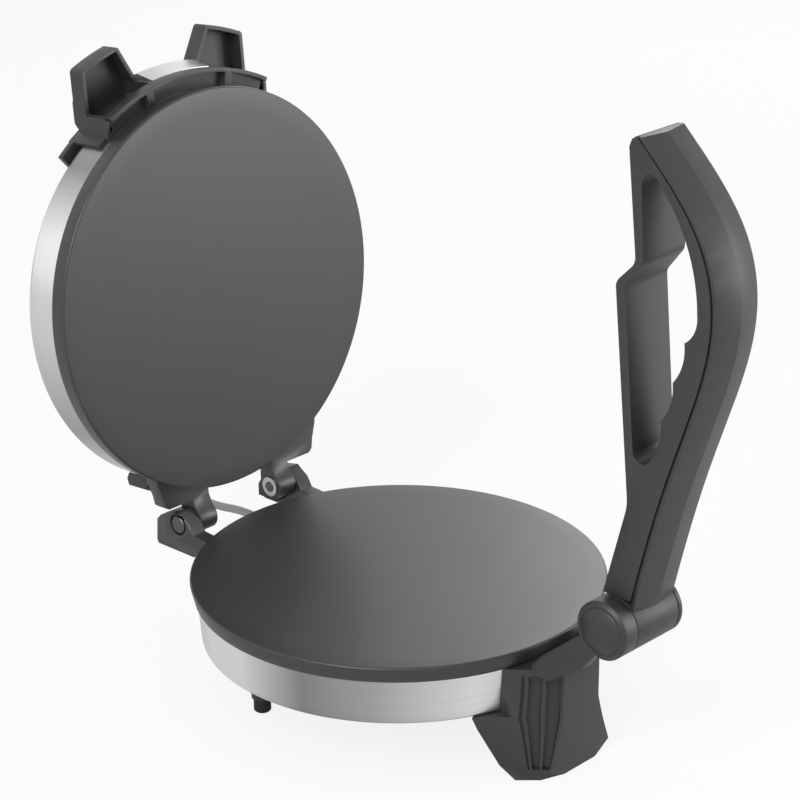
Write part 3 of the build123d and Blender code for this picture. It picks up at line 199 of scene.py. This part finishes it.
class Finish:
    """One material: a Principled surface, and one method that adds any other node."""

    def __init__(self, name, **constants):
        self.material = bpy.data.materials.new(name)
        self.material.use_nodes = True
        self.tree = self.material.node_tree
        self.surface = self.tree.nodes["Principled BSDF"]
        for key, value in constants.items():
            self.surface.inputs[key.replace("_", " ")].default_value = value

    def node(self, kind, settings=None, inputs=None, output=0):
        """Adds a node, sets its settings first and then the values or links of its sockets."""
        node = self.tree.nodes.new("ShaderNode" + kind)
        for key, value in (settings or {}).items():
            if key == "stops":
                self._stops(node.color_ramp, value)
            else:
                setattr(node, key, value)
        for key, value in (inputs or {}).items():
            self._feed(node.inputs[key], value)
        return Value(self.tree, node.outputs[output])

    def _feed(self, socket, value):
        if isinstance(value, Value):
            self.tree.links.new(value.socket, socket)
        else:
            socket.default_value = value

    @staticmethod
    def _stops(ramp, stops):
        while len(ramp.elements) < len(stops):
            ramp.elements.new(0.5)
        for element, (place, level) in zip(ramp.elements, stops):
            element.position = place
            element.color = (level, level, level, 1)

    def place(self, turn=(0, 0, 0), scale=(1, 1, 1), centre=(0, 0, 0)):
        """Object coordinates, moved so that 'centre' is the origin, then turned and scaled."""
        where = self.node("TexCoord", output=3)
        moved = self.node("VectorMath", {"operation": "SUBTRACT"}, {0: where, 1: centre})
        turned = self.node("Mapping", inputs={"Vector": moved, "Rotation": turn})
        return self.node("VectorMath", {"operation": "MULTIPLY"}, {0: turned, 1: scale})

    def part(self, vector, index):
        """One number of a vector."""
        return self.node("SeparateXYZ", inputs={0: vector}, output=index)

    def math(self, operation, *values):
        """A Math node that has no Python sign."""
        return self.node("Math", {"operation": operation}, dict(enumerate(values)))

    def noise(self, where, scale=1.0, detail=2.0, rough=0.5):
        """Noise from 0 to 1 at the given places."""
        return self.node("TexNoise", inputs={"Vector": where, "Scale": scale, "Detail": detail,
                                             "Roughness": rough})

    def ramp(self, value, *stops):
        """Maps a value through (place, level) stops."""
        return self.node("ValToRGB", {"stops": stops}, {"Fac": value})

    def blend(self, share, first, second):
        """Mixes two colours by a share."""
        return self.node("Mix", {"data_type": "RGBA"},
                         {0: share, 6: as_colour(first), 7: as_colour(second)}, output=2)

    def bump(self, height, depth):
        """Normals of a height field whose full range is 'depth' metres."""
        return self.node("Bump", inputs={"Height": height, "Distance": depth, "Strength": 1.0})

    def set(self, **links):
        """Feeds the surface's own sockets."""
        for key, value in links.items():
            self._feed(self.surface.inputs[key.replace("_", " ")], value)
        return self.material


def as_colour(item):
    """A colour as four numbers, or a socket as it is."""
    return item if isinstance(item, Value) else (*item, 1.0)


def shade(colour, factor):
    """A colour made lighter or darker."""
    return tuple(min(1.0, channel * factor) for channel in colour)


# ---- finishes -------------------------------------------------------------------------------------
# Painted reflection on the brushed steel: bright and dark bands round its axis, put into its colour, (share
# of a turn from +X, level).
PAINTED_REFLECTION_BANDS = ((0.0, 0.80), (0.12, 0.52), (0.22, 0.92), (0.32, 0.46), (0.44, 1.0), (0.485, 1.0), (0.545, 0.34),
          (0.60, 0.50), (0.68, 1.0), (0.78, 0.58), (0.90, 1.0), (1.0, 0.80))
LID_REFLECTION_TURN = -0.09                    # the lid's painted reflection bands are turned by this share

# Turned and pressed metals: material, colour, roughness and the scale of their tool marks.
MARKS_ROUND_Z, MARKS_ROUND_X = (40.0, 40.0, 2600.0), (2600.0, 40.0, 40.0)
METALS = {
    "screw": ("screw_steel", (0.55, 0.55, 0.56), 0.22, MARKS_ROUND_Z),
    "pin": ("pin_steel", (0.58, 0.57, 0.56), 0.18, MARKS_ROUND_X),
    "pin_dark": ("pin_dark", (0.13, 0.13, 0.14), 0.34, MARKS_ROUND_X),
    "pressing": ("pressed_steel", (0.50, 0.50, 0.51), 0.30, MARKS_ROUND_Z),
    "brass": ("bush_brass", (0.62, 0.45, 0.20), 0.30, MARKS_ROUND_Z),
}
SHEATH, SHEATH_OXIDE = (0.30, 0.29, 0.28), (0.30, 0.24, 0.20)
CERAMIC = (0.78, 0.76, 0.70)
FINISHES = {}


def coating(colour):
    """Satin non-stick coating: fine orange peel, faint cloudiness and rubbed patches."""
    finish = Finish("plate_coating", IOR=1.5, Specular_IOR_Level=0.5, Coat_Weight=0.25, Coat_Roughness=0.25)
    where = finish.place()
    clouds = finish.noise(where, scale=18.0, detail=3.0)
    peel = finish.noise(where, scale=900.0)
    speck = finish.noise(where, scale=2600.0, detail=1.0)
    tone = finish.blend(clouds, shade(colour, 0.86), shade(colour, 1.14))
    rough = 0.37 + clouds * 0.07 + speck * 0.05
    return finish.set(Base_Color=tone, Roughness=rough,
                      Normal=finish.bump(peel * 0.7 + speck * 0.3, depth=0.035 * MM))


def brushed(name, colour, turn, centre, phase):
    """Steel brushed round its own axis: fine streaks, and broad bright and dark bands of painted reflection
    round the axis.
    """
    finish = Finish(name, Metallic=1.0, Anisotropic=0.4)
    where = finish.place(turn, centre=centre)
    bearing = finish.math("ARCTAN2", finish.part(where, 1), finish.part(where, 0))
    # Painted reflection: bands that brighten and darken the colour by the bearing round the axis.
    painted_reflection = finish.ramp(finish.math("FRACT", bearing / FULL_TURN + phase), *PAINTED_REFLECTION_BANDS)
    fine = finish.noise(finish.place(turn, (14.0, 14.0, 5200.0), centre))
    broad = finish.noise(finish.place(turn, (5.0, 5.0, 900.0), centre), detail=1.0)
    smear = finish.noise(finish.place(turn, (9.0, 9.0, 14.0), centre))
    streak = fine * 0.65 + broad * 0.35
    tone = finish.blend(painted_reflection * (0.80 + streak * 0.35), (0, 0, 0), colour)
    rough = 0.26 + streak * 0.14 + smear * 0.06
    return finish.set(Base_Color=tone, Roughness=rough, Normal=finish.bump(streak, depth=0.012 * MM))


def moulded(name, colour, grain, gloss=0.36):
    """Spark-eroded black moulding: fine grain, slight flow clouds and a soft sheen."""
    finish = Finish(name, IOR=1.5)
    where = finish.place()
    flow = finish.noise(where, scale=22.0, detail=3.0)
    erosion = finish.noise(where, scale=2400.0, rough=0.6)
    tone = finish.blend(flow, shade(colour, 0.88), shade(colour, 1.16))
    rough = gloss + erosion * 0.10 + flow * 0.05
    return finish.set(Base_Color=tone, Roughness=rough, Normal=finish.bump(erosion, depth=grain))


def plain_metal(name, colour, gloss, marks_scale):
    """Turned or pressed metal: fine tool marks and slight stains."""
    finish = Finish(name, Metallic=1.0)
    marks = finish.noise(finish.place(scale=marks_scale))
    stain = finish.noise(finish.place(), scale=60.0, detail=3.0)
    tone = finish.blend(stain, shade(colour, 0.84), shade(colour, 1.10))
    return finish.set(Base_Color=tone, Roughness=gloss + marks * 0.12 + stain * 0.06,
                      Normal=finish.bump(marks, depth=0.01 * MM))


def braid(colour):
    """Wire braid over a flex: two sets of strands that wind opposite ways and pass over each other."""
    finish = Finish("flex_braid", Metallic=0.8)
    where = finish.node("UVMap", {"uv_map": "braid"})
    along, turn = finish.part(where, 0), finish.part(where, 1)
    strands = FULL_TURN * BRAID_STRANDS
    one = finish.math("SINE", (along + turn) * strands)
    two = finish.math("SINE", (along - turn) * strands)
    weave = finish.math("MAXIMUM", one, two) * 0.5 + 0.5
    tone = finish.blend(weave, shade(colour, 0.30), colour)
    return finish.set(Base_Color=tone, Roughness=0.5 - weave * 0.18,
                      Normal=finish.bump(weave, depth=0.18 * MM))


def element_sheath(colour, oxide):
    """Oxidised sheath of a heating element: mottled and dull."""
    finish = Finish("element_sheath", Metallic=0.85)
    mottle = finish.noise(finish.place(), scale=90.0, detail=4.0)
    tone = finish.blend(mottle, shade(colour, 0.55), oxide)
    return finish.set(Base_Color=tone, Roughness=0.45 + mottle * 0.2,
                      Normal=finish.bump(mottle, depth=0.05 * MM))


def glazed(colour):
    """Glazed ceramic with fine pinholes."""
    finish = Finish("glazed_ceramic", Coat_Roughness=0.15, Coat_Weight=0.4)
    pores = finish.noise(finish.place(), scale=500.0)
    tone = finish.blend(pores, shade(colour, 0.93), colour)
    return finish.set(Base_Color=tone, Roughness=0.3 + pores * 0.15,
                      Normal=finish.bump(pores, depth=0.03 * MM))


def soft_rubber(colour):
    """Matt rubber with a dusty, slightly worn face."""
    finish = Finish("rubber", Specular_IOR_Level=0.35)
    dust = finish.noise(finish.place(), scale=160.0, detail=4.0)
    skin = finish.noise(finish.place(), scale=1500.0, detail=1.0)
    tone = finish.blend(dust, colour, shade(colour, 1.7))
    return finish.set(Base_Color=tone, Roughness=0.62 + dust * 0.15,
                      Normal=finish.bump(skin, depth=0.04 * MM))


def make_finishes(colours, grain):
    """Makes every finish once."""
    if FINISHES:
        return
    steel, black = tuple(colours.steel), tuple(colours.moulding)
    lid_centre = tuple(LID_TURN @ Vector((PLATE_AXIS.x, PLATE_AXIS.y, HINGE.z)))
    FINISHES.update({
        "coating": coating(tuple(colours.coating)),
        "base_steel": brushed("base_steel", steel, (0, 0, 0), tuple(PLATE_AXIS), 0.0),
        "lid_steel": brushed("lid_steel", steel, (LID_OPEN, 0, 0), lid_centre, LID_REFLECTION_TURN),
        "moulding": moulded("moulding", black, grain),
        "moulding_cap": moulded("moulding_cap", black, grain * 0.5, 0.33),
        "braid": braid(tuple(colours.braid)),
        "rubber": soft_rubber(tuple(colours.rubber)),
        "element": element_sheath(SHEATH, SHEATH_OXIDE),
        "ceramic": glazed(CERAMIC),
    })
    for key, values in METALS.items():
        FINISHES[key] = plain_metal(*values)


# ---- shapes ---------------------------------------------------------------------------------------
def add_piece(name, mesh, finish):
    """Puts a mesh into the scene as an object at the origin, with its finish."""
    piece = bpy.data.objects.new(name, mesh)
    bpy.context.scene.collection.objects.link(piece)
    mesh.materials.append(FINISHES[finish])
    return piece


def new_piece(name, vertices, faces, finish, smooth=True):
    """A piece from an array of points in metres and a list of faces."""
    mesh = bpy.data.meshes.new(name)
    mesh.from_pydata(vertices.tolist(), [], faces, shade_flat=not smooth)
    mesh.update()
    return add_piece(name, mesh, finish)


def round_edges(piece, width, angle=30.0):
    """Rounds the edges where faces meet at more than 'angle' degrees."""
    bevel = piece.modifiers.new("Rounded edges", "BEVEL")
    bevel.width, bevel.segments = width, BEVEL_SEGMENTS
    bevel.limit_method, bevel.angle_limit = "ANGLE", math.radians(angle)
    bevel.harden_normals = bevel.use_clamp_overlap = True


def seal(mesh):
    """Merges the points that share a place, such as a pole's, and turns every face outwards."""
    work = bmesh.new()
    work.from_mesh(mesh)
    bmesh.ops.remove_doubles(work, verts=work.verts, dist=POLE_MERGE)
    bmesh.ops.dissolve_degenerate(work, dist=SLIVER, edges=work.edges)
    bmesh.ops.recalc_face_normals(work, faces=work.faces)
    work.to_mesh(mesh)
    work.free()
    mesh.set_sharp_from_angle(angle=math.radians(SHARP_ANGLE))


def round_out(work, to_axis, cuts):
    """Divides the chords of every circle about an axis and moves the new points out to their circle.

    With the axis as local Z, a point's circle is r = sqrt(x^2 + y^2) at height z. An edge is a chord
    when both of its ends share r and z, and each point that divides it is scaled by r / its own length.
    """
    def circle(vertex):
        place = to_axis @ vertex.co
        return math.hypot(place.x, place.y), place.z

    chords = []
    for edge in work.edges:
        (r0, z0), (r1, z1) = circle(edge.verts[0]), circle(edge.verts[1])
        alike = abs(r0 - r1) < CHORD_TOLERANCE and abs(z0 - z1) < CHORD_TOLERANCE
        if alike and edge.calc_length() < CHORD_SHARE * r0:
            chords.append((edge, r0))
    finder = KDTree(len(chords) * cuts)
    radii = []
    for edge, radius in chords:
        for step in range(1, cuts + 1):
            finder.insert(edge.verts[0].co.lerp(edge.verts[1].co, step / (cuts + 1)), len(radii))
            radii.append(radius)
    finder.balance()
    bmesh.ops.subdivide_edges(work, edges=[edge for edge, _ in chords], cuts=cuts, use_grid_fill=True)
    back = to_axis.inverted()
    for vertex in work.verts:
        _, index, distance = finder.find(vertex.co)
        if distance < CHORD_TOLERANCE / 4:
            place = to_axis @ vertex.co
            grow = radii[index] / math.hypot(place.x, place.y)
            vertex.co = back @ Vector((place.x * grow, place.y * grow, place.z))


def dress(node, body, finish, edge, angle=28.0, axis=None, cuts=2):
    """Replaces a CAD node by a merged copy with rounded edges, and with fine facets about an axis."""
    name = node + "_finish"
    mesh = frame["nodes"][node].data.copy()
    mesh.name = name
    mesh.materials.clear()
    work = bmesh.new()
    work.from_mesh(mesh)
    bmesh.ops.remove_doubles(work, verts=work.verts, dist=MERGE)
    bmesh.ops.dissolve_limit(work, angle_limit=math.radians(FLAT_ANGLE), verts=work.verts, edges=work.edges)
    if axis is not None:
        round_out(work, axis, cuts)
    work.to_mesh(mesh)
    work.free()
    mesh.shade_smooth()
    piece = add_piece(name, mesh, finish)
    round_edges(piece, edge, angle)
    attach(piece, body)
    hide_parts(node)


def paint(finish, *nodes):
    """Gives CAD nodes a finish."""
    for name in nodes:
        mesh = frame["nodes"][name].data
        mesh.materials.clear()
        mesh.materials.append(FINISHES[finish])


def arc(centre, radius, first, last, count):
    """Points (r, z) of an arc from 'first' to 'last' degrees: centre + radius * (cos a, sin a)."""
    a = np.radians(np.linspace(first, last, count))
    return np.stack([centre[0] + radius * np.cos(a), centre[1] + radius * np.sin(a)], axis=1)


def turned(name, profile, place, finish, body, slot, count=288):
    """Surface of revolution: (r, z) -> (r cos t, r sin t, z), r and z in mm along a closed profile.

    The grid is profile point by angle t; a profile point on the axis becomes one shared pole.
    """
    profile = np.concatenate([np.atleast_2d(part) for part in profile]) * MM
    t = np.linspace(0, FULL_TURN, count, endpoint=False)
    r, z = profile[:, :1], profile[:, 1:]
    grid = np.stack([r * np.cos(t), r * np.sin(t), z + 0 * t], axis=2)
    rows, here = np.arange(len(profile)), np.arange(count)
    after = (here + 1) % count
    low, high = rows[:, None] * count, np.roll(rows, -1)[:, None] * count
    faces = np.stack([low + here, low + after, high + after, high + here], axis=2).reshape(-1, 4)
    piece = new_piece(name, grid.reshape(-1, 3), faces.tolist(), finish)
    seal(piece.data)
    piece.data.transform(place)
    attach(piece, body)
    return piece


def plate_profile(rim, taper):
    """Closed profile of a plate's disc: face, rounded edge, tapered rim, skirt and web."""
    r, low = PLATE_R + SKIN, PLATE_R - taper + SKIN
    edge, foot = (r - EDGE_R, SKIN - EDGE_R), (low - FOOT_R, -rim + FOOT_R - SKIN)
    return [(0, SKIN), (r / 2, SKIN), (r - RIM_BAND, SKIN), arc(edge, EDGE_R, 90, 4, 9),
            (low, -rim + FOOT_R), arc(foot, FOOT_R, -8, -90, 5), (low - SKIRT, -rim - SKIN),
            (low - SKIRT - SKIRT_SLOPE, -WEB), (0, -WEB)]


def band_profile():
    """Closed profile of the base's band: cone, rolled lower corner and flange."""
    top, low, foot = BAND_TOP_R + SKIN, BAND_LOW_R + SKIN, BAND_LOW_Z - SKIN
    flange, bend = BAND_LOW_R - BAND_FLANGE, (low - BAND_CORNER, foot + BAND_CORNER)
    return [(top, -BASE_RIM), (top - BAND_IN, -BASE_RIM - BAND_DROP), arc(bend, BAND_CORNER, 4, -90, 9),
            (flange, foot), (flange, foot + SHEET), arc(bend, BAND_CORNER - SHEET, -90, 4, 7),
            (BAND_TOP_R - SHEET, -BASE_RIM)]


def cap_profile():
    """Closed profile of the lid's cap skin: wall, rounded corner and slightly crowned top."""
    r, low, top = CAP_R + SKIN, LID_GAP + LID_RIM, CAP_TOP_Z + SKIN
    knee, crown, bend = CAP_R * CAP_KNEE, top + CAP_CROWN * CAP_KNEE, (r - CAP_CORNER, top - CAP_CORNER)
    return [(r, low), (r, low + CAP_RING), arc(bend, CAP_CORNER, 0, 90, 13), (knee, crown),
            (0, top + CAP_CROWN), (0, top + CAP_CROWN - CAP_SKIN), (knee, crown - CAP_SKIN),
            arc(bend, CAP_CORNER - CAP_SKIN, 90, 0, 9), (r - CAP_SKIN, low)]


def cheek(name, side, edge):
    """Outer wall of the bracket: the outline CHEEK in (y, z), carried straight along x, edges rounded."""
    outline = np.array(CHEEK)
    count = len(outline)
    ends = sorted((side * CHEEK_X, side * (CHEEK_X - CHEEK_WALL)))
    points = np.concatenate([np.column_stack([np.full(count, x), outline]) for x in ends]) * MM
    here = np.arange(count)
    after = (here + 1) % count
    faces = [here[::-1].tolist(), (here + count).tolist()]
    faces += np.stack([here, after, after + count, here + count], axis=1).tolist()
    piece = new_piece(name, points, faces, "moulding")
    seal(piece.data)
    piece.data.transform(LID_UP)
    round_edges(piece, edge)
    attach(piece, "lid")


def route_line(points, resolution=12):
    """Points along the NURBS spline whose control points are a given route."""
    data = bpy.data.curves.new("route", "CURVE")
    data.dimensions = "3D"
    spline = data.splines.new("NURBS")
    spline.points.add(len(points) - 1)
    spline.points.foreach_set("co", np.column_stack([points, np.ones(len(points))]).ravel())
    spline.order_u, spline.use_endpoint_u, spline.resolution_u = 3, True, resolution
    route = bpy.data.objects.new("route", data)
    mesh = bpy.data.meshes.new_from_object(route)
    line = np.zeros(3 * len(mesh.vertices))
    mesh.vertices.foreach_get("co", line)
    bpy.data.meshes.remove(mesh)
    bpy.data.objects.remove(route)
    bpy.data.curves.remove(data)
    return line.reshape(-1, 3)


def tube(name, line, radius, finish, around=24):
    """Round tube: line(s) + radius (cos t n + sin t x), n across the line in its own plane x = constant.

    Its map 'braid' is (s / circumference, t / full turn), s being the distance run along the line.
    """
    ahead = np.gradient(line, axis=0)
    ahead /= np.linalg.norm(ahead, axis=1)[:, None]
    side = np.tile([1.0, 0.0, 0.0], (len(line), 1))
    across = np.cross(side, ahead)
    t = np.linspace(0, FULL_TURN, around, endpoint=False)[None, :, None]
    points = line[:, None] + radius * (np.cos(t) * across[:, None] + np.sin(t) * side[:, None])
    corner = np.array([[0, 0], [0, 1], [1, 1], [1, 0]])      # of a wall's face: steps along and around
    rows, turns = np.broadcast_arrays(np.arange(len(line) - 1)[:, None, None] + corner[:, 0],
                                      np.arange(around)[None, :, None] + corner[:, 1])
    here, last = np.arange(around), len(line) - 1
    faces = (rows * around + turns % around).reshape(-1, 4).tolist()
    faces += [here[::-1].tolist(), (here + last * around).tolist()]
    piece = new_piece(name, points.reshape(-1, 3), faces, finish)
    run = np.concatenate([[0], np.cumsum(np.linalg.norm(np.diff(line, axis=0), axis=1))])
    along = np.concatenate([run[rows].ravel(), np.full(around, run[0]), np.full(around, run[last])])
    turn = np.concatenate([turns.ravel(), here[::-1], here])
    layer = piece.data.uv_layers.new(name="braid")
    uv = np.column_stack([along / (FULL_TURN * radius), turn / around])
    layer.data.foreach_set("uv", uv.astype(np.float32).ravel())
    return piece


# ---- studio ---------------------------------------------------------------------------------------
CAMERA_PLACE = Vector((-0.87595, -0.82646, 0.66068))
CAMERA_RIGHT = Vector((0.68841, -0.72529, -0.00610))
CAMERA_UP = Vector((0.27863, 0.25667, 0.92546))
CAMERA_LENS, SENSOR = 114.785, 36.0
CLIP = (0.05, 60.0)
# Rectangular lamps: place, the point they face, width and height in metres, and watts.
LAMPS = {
    "key": ((-1.7, -0.5, 1.5), (0, 0, 0.12), (1.0, 1.0), 27.0),
    "side": ((1.25, -1.35, 0.45), (0, 0.1, 0.2), (1.0, 0.8), 14.0),
    "rear": ((1.55, 0.85, 1.00), (0, 0, 0.07), (0.6, 0.6), 4.5),
}
WORLD_LIGHT, WORLD_SEEN = 0.42, 0.95  # the world's strength as light, and as it is seen; 1 is white
FLOOR_REACH, FLOOR_SIDES = 6.0, 64   # radius in metres
FLOOR_HOLE = 0.0001                  # radius of its middle, as a share
FLOOR_GLOW, FLOOR_GLOW_SHARE = 1.02, 0.84      # the rest of what is seen is lit, and keeps the shadow


def studio_camera():
    """Long lens from the front left, a little above the object."""
    data = bpy.data.cameras.new("view")
    data.lens, data.sensor_width = CAMERA_LENS, SENSOR
    data.clip_start, data.clip_end = CLIP
    camera = bpy.data.objects.new("view", data)
    back = CAMERA_RIGHT.cross(CAMERA_UP)
    turn = Matrix((CAMERA_RIGHT, CAMERA_UP, back)).transposed()
    camera.matrix_world = Matrix.LocRotScale(CAMERA_PLACE, turn.to_quaternion(), None)
    bpy.context.scene.collection.objects.link(camera)
    bpy.context.scene.camera = camera


def softbox(name, place, target, size, power):
    """Rectangular lamp aimed at a point."""
    data = bpy.data.lights.new(name, "AREA")
    data.shape, data.size, data.size_y, data.energy = "RECTANGLE", size[0], size[1], power
    lamp = bpy.data.objects.new(name, data)
    aim = (Vector(target) - Vector(place)).to_track_quat("-Z", "Y")
    lamp.matrix_world = Matrix.LocRotScale(Vector(place), aim, None)
    bpy.context.scene.collection.objects.link(lamp)


def white(node, strength):
    """Makes a Background node white, with the given strength."""
    node.inputs["Color"].default_value = (1, 1, 1, 1)
    node.inputs["Strength"].default_value = strength
    return node.outputs[0]


def studio_world():
    """Even soft light; what the camera or a reflection sees directly is the pale backdrop."""
    world = bpy.data.worlds.new("studio")
    world.use_nodes = True
    tree = world.node_tree
    rays = tree.nodes.new("ShaderNodeLightPath")
    direct = (Value(tree, rays.outputs["Is Camera Ray"]) + Value(tree, rays.outputs["Is Transmission Ray"])
              + Value(tree, rays.outputs["Is Glossy Ray"]))
    mix = tree.nodes.new("ShaderNodeMixShader")
    tree.links.new(direct.socket, mix.inputs[0])
    tree.links.new(white(tree.nodes["Background"], WORLD_LIGHT), mix.inputs[1])
    tree.links.new(white(tree.nodes.new("ShaderNodeBackground"), WORLD_SEEN), mix.inputs[2])
    tree.links.new(mix.outputs[0], tree.nodes["World Output"].inputs["Surface"])
    bpy.context.scene.world = world


def floor_finish(colour):
    """Pale matt floor that is nearly white to the camera and still shows the shadow."""
    finish = Finish("floor", Roughness=0.9, Specular_IOR_Level=0.1)
    grain = finish.noise(finish.place(), scale=3.0, detail=3.0)
    material = finish.set(Base_Color=finish.blend(grain, shade(colour, 0.985), shade(colour, 1.01)))
    glow = finish.node("Emission", inputs={"Color": (1, 1, 1, 1), "Strength": FLOOR_GLOW})
    seen = finish.node("LightPath", output=0) * FLOOR_GLOW_SHARE
    lit = Value(finish.tree, finish.surface.outputs[0])
    both = finish.node("MixShader", inputs={0: seen, 1: lit, 2: glow})
    finish.tree.links.new(both.socket, finish.tree.nodes["Material Output"].inputs["Surface"])
    return material


def studio_floor(colour):
    """Round table top: rings of radius R at angles t, (R cos t, R sin t, 0)."""
    t = np.linspace(0, FULL_TURN, FLOOR_SIDES, endpoint=False)
    rings = np.array([FLOOR_HOLE, 1.0]) * FLOOR_REACH
    x, y = np.outer(rings, np.cos(t)).ravel(), np.outer(rings, np.sin(t)).ravel()
    here = np.arange(FLOOR_SIDES)
    after = (here + 1) % FLOOR_SIDES
    faces = np.stack([here, here + FLOOR_SIDES, after + FLOOR_SIDES, after], axis=1)
    FINISHES["floor"] = floor_finish(colour)
    floor = new_piece("floor", np.column_stack([x, y, 0 * x]), faces.tolist(), "floor", smooth=False)


# ---- operators ------------------------------------------------------------------------------------
METAL_ANGLE = 45.0                   # cast and sheet metal is rounded only at its real edges
BACK_ANGLE = 11.0                    # the lever's back has a shallow ridge
# Roundings as shares of the moulded edge, and of the metal edge for the lid's shell.
BACK_EDGE, BRACKET_EDGE, CHEEK_EDGE, PIVOT_CAP_EDGE = 0.55, 0.8, 0.6, 0.3
SHELL_EDGE = 0.5


class ROTI_OT_stage(Operator):
    """Finishes, camera, soft lights, pale surroundings and the floor"""

    bl_idname = "roti.stage"
    bl_label = "Studio"

    def execute(self, context):
        scene = context.scene
        make_finishes(scene.roti_colours, scene.roti_sizes.grain)
        studio_camera()
        studio_world()
        studio_floor(tuple(scene.roti_colours.floor))
        for name, values in LAMPS.items():
            softbox(name, *values)
        scene.view_settings.view_transform = "Standard"
        return {"FINISHED"}


class ROTI_OT_plates(Operator):
    """Coated cooking plates with their hinge castings"""

    bl_idname = "roti.plates"
    bl_label = "Cooking plates"

    def execute(self, context):
        edge = context.scene.roti_sizes.sheet_edge
        face_down = Matrix.Translation((0, 0, LID_GAP * MM)) @ Matrix.Rotation(math.pi, 4, "X")
        dress("base_plate", "base", "coating", edge, METAL_ANGLE)
        dress("lid_plate", "lid", "coating", edge, METAL_ANGLE)
        turned("base_plate_disc", plate_profile(BASE_RIM, BASE_TAPER), UP, "coating",
               "base", "cooking_plate")
        turned("lid_plate_disc", plate_profile(LID_RIM, LID_TAPER), LID_UP @ face_down, "coating",
               "lid", "cooking_plate")
        return {"FINISHED"}


class ROTI_OT_shells(Operator):
    """Brushed steel band of the base and cap of the lid"""

    bl_idname = "roti.shells"
    bl_label = "Steel shells"

    def execute(self, context):
        edge = context.scene.roti_sizes.sheet_edge
        band = turned("base_band", band_profile(), UP, "base_steel", "base", "steel_shell")
        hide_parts("base_shell")
        dress("lid_shell", "lid", "lid_steel", edge * SHELL_EDGE, METAL_ANGLE)
        turned("lid_cap", cap_profile(), LID_UP, "lid_steel", "lid", "steel_shell")
        return {"FINISHED"}


class ROTI_OT_lever(Operator):
    """Looped pressing lever with its back strip and bushes"""

    bl_idname = "roti.lever"
    bl_label = "Pressing lever"

    def execute(self, context):
        edge = context.scene.roti_sizes.edge
        dress("lever_frame", "lever", "moulding", edge, axis=LEVER_AXIS)
        dress("lever_back", "lever", "moulding", edge * BACK_EDGE, BACK_ANGLE)
        paint("brass", "lever_bushes")
        return {"FINISHED"}


class ROTI_OT_mouldings(Operator):
    """Front leg with its ears, the lid's front bracket, rear guards, bottom cover and pivot caps"""

    bl_idname = "roti.mouldings"
    bl_label = "Black mouldings"

    def execute(self, context):
        edge = context.scene.roti_sizes.edge
        dress("front_leg", "base", "moulding", edge * BRACKET_EDGE, axis=LEVER_AXIS)
        dress("lid_bracket", "lid", "moulding", edge * BRACKET_EDGE)
        dress("lid_rear_brackets", "lid", "moulding", edge * BRACKET_EDGE)
        cheek("bracket_cheek_left", -1, edge * CHEEK_EDGE)
        cheek("bracket_cheek_right", 1, edge * CHEEK_EDGE)
        paint("moulding", "base_cover")
        dress("pivot_caps", "base", "moulding_cap", edge * PIVOT_CAP_EDGE,
              axis=LEVER_AXIS, cuts=3)
        return {"FINISHED"}


class ROTI_OT_small_parts(Operator):
    """Screws, pins, pads, grommets and the working parts inside"""

    bl_idname = "roti.small_parts"
    bl_label = "Small and inner parts"

    def execute(self, context):
        edge = context.scene.roti_sizes.sheet_edge
        paint("screw", "cover_screws", "base_clamp_screws", "leg_screws", "lever_screws", "lid_screws",
              "bracket_screws", "lid_clamp_screws", "pin_clips")
        dress("hinge_pins", "base", "pin_dark", edge, axis=HINGE_AXIS, cuts=3)
        paint("pin", "lever_pin", "lid_posts")
        paint("rubber", "foot_pads", "cord_gland", "base_link_grommet", "lid_link_grommet")
        paint("element", "base_heater", "lid_heater")
        paint("pressing", "base_heater_clamp", "lid_heater_clamp", "thermostat", "lid_thermal_fuse")
        paint("ceramic", "terminal_block")
        return {"FINISHED"}


class ROTI_OT_flex(Operator):
    """Braided link flex between its two grommets, laid along its route with the lid open"""

    bl_idname = "roti.flex"
    bl_label = "Link flex"

    def execute(self, context):
        start, *run = [UP @ (Vector((FLEX_X, y, z)) * MM) for y, z in (FLEX_START, *FLEX_RUN)]
        y, z = FLEX_END
        end, lead = [LID_UP @ (Vector((FLEX_X, y, height)) * MM) for height in (z, z + FLEX_LEAD)]
        flex = tube("link_flex", route_line([start, *run, lead, end]), FLEX_R * MM, "braid")
        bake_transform(flex)
        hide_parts("link_cable")
        return {"FINISHED"}


OPERATORS = (ROTI_OT_stage, ROTI_OT_plates, ROTI_OT_shells, ROTI_OT_lever, ROTI_OT_mouldings,
             ROTI_OT_small_parts, ROTI_OT_flex)


class ROTI_PT_panel(Panel):
    """Settings and the steps that dress the model"""

    bl_idname = "ROTI_PT_panel"
    bl_label = "Roti maker"
    bl_space_type = "VIEW_3D"
    bl_region_type = "UI"
    bl_category = "Roti maker"

    def draw(self, context):
        for group in (context.scene.roti_colours, context.scene.roti_sizes):
            for name in group.__annotations__:
                self.layout.prop(group, name)
        for operator in OPERATORS:
            self.layout.operator(operator.bl_idname)


CLASSES = (RotiColours, RotiSizes, *OPERATORS, ROTI_PT_panel)


def register():
    for item in CLASSES:
        bpy.utils.register_class(item)
    bpy.types.Scene.roti_colours = PointerProperty(type=RotiColours)
    bpy.types.Scene.roti_sizes = PointerProperty(type=RotiSizes)


def unregister():
    del bpy.types.Scene.roti_colours
    del bpy.types.Scene.roti_sizes
    for item in reversed(CLASSES):
        bpy.utils.unregister_class(item)


def main():
    register()
    for operator in OPERATORS:
        group, name = operator.bl_idname.split(".")
        getattr(getattr(bpy.ops, group), name)()


if __name__ == "__main__":
    main()
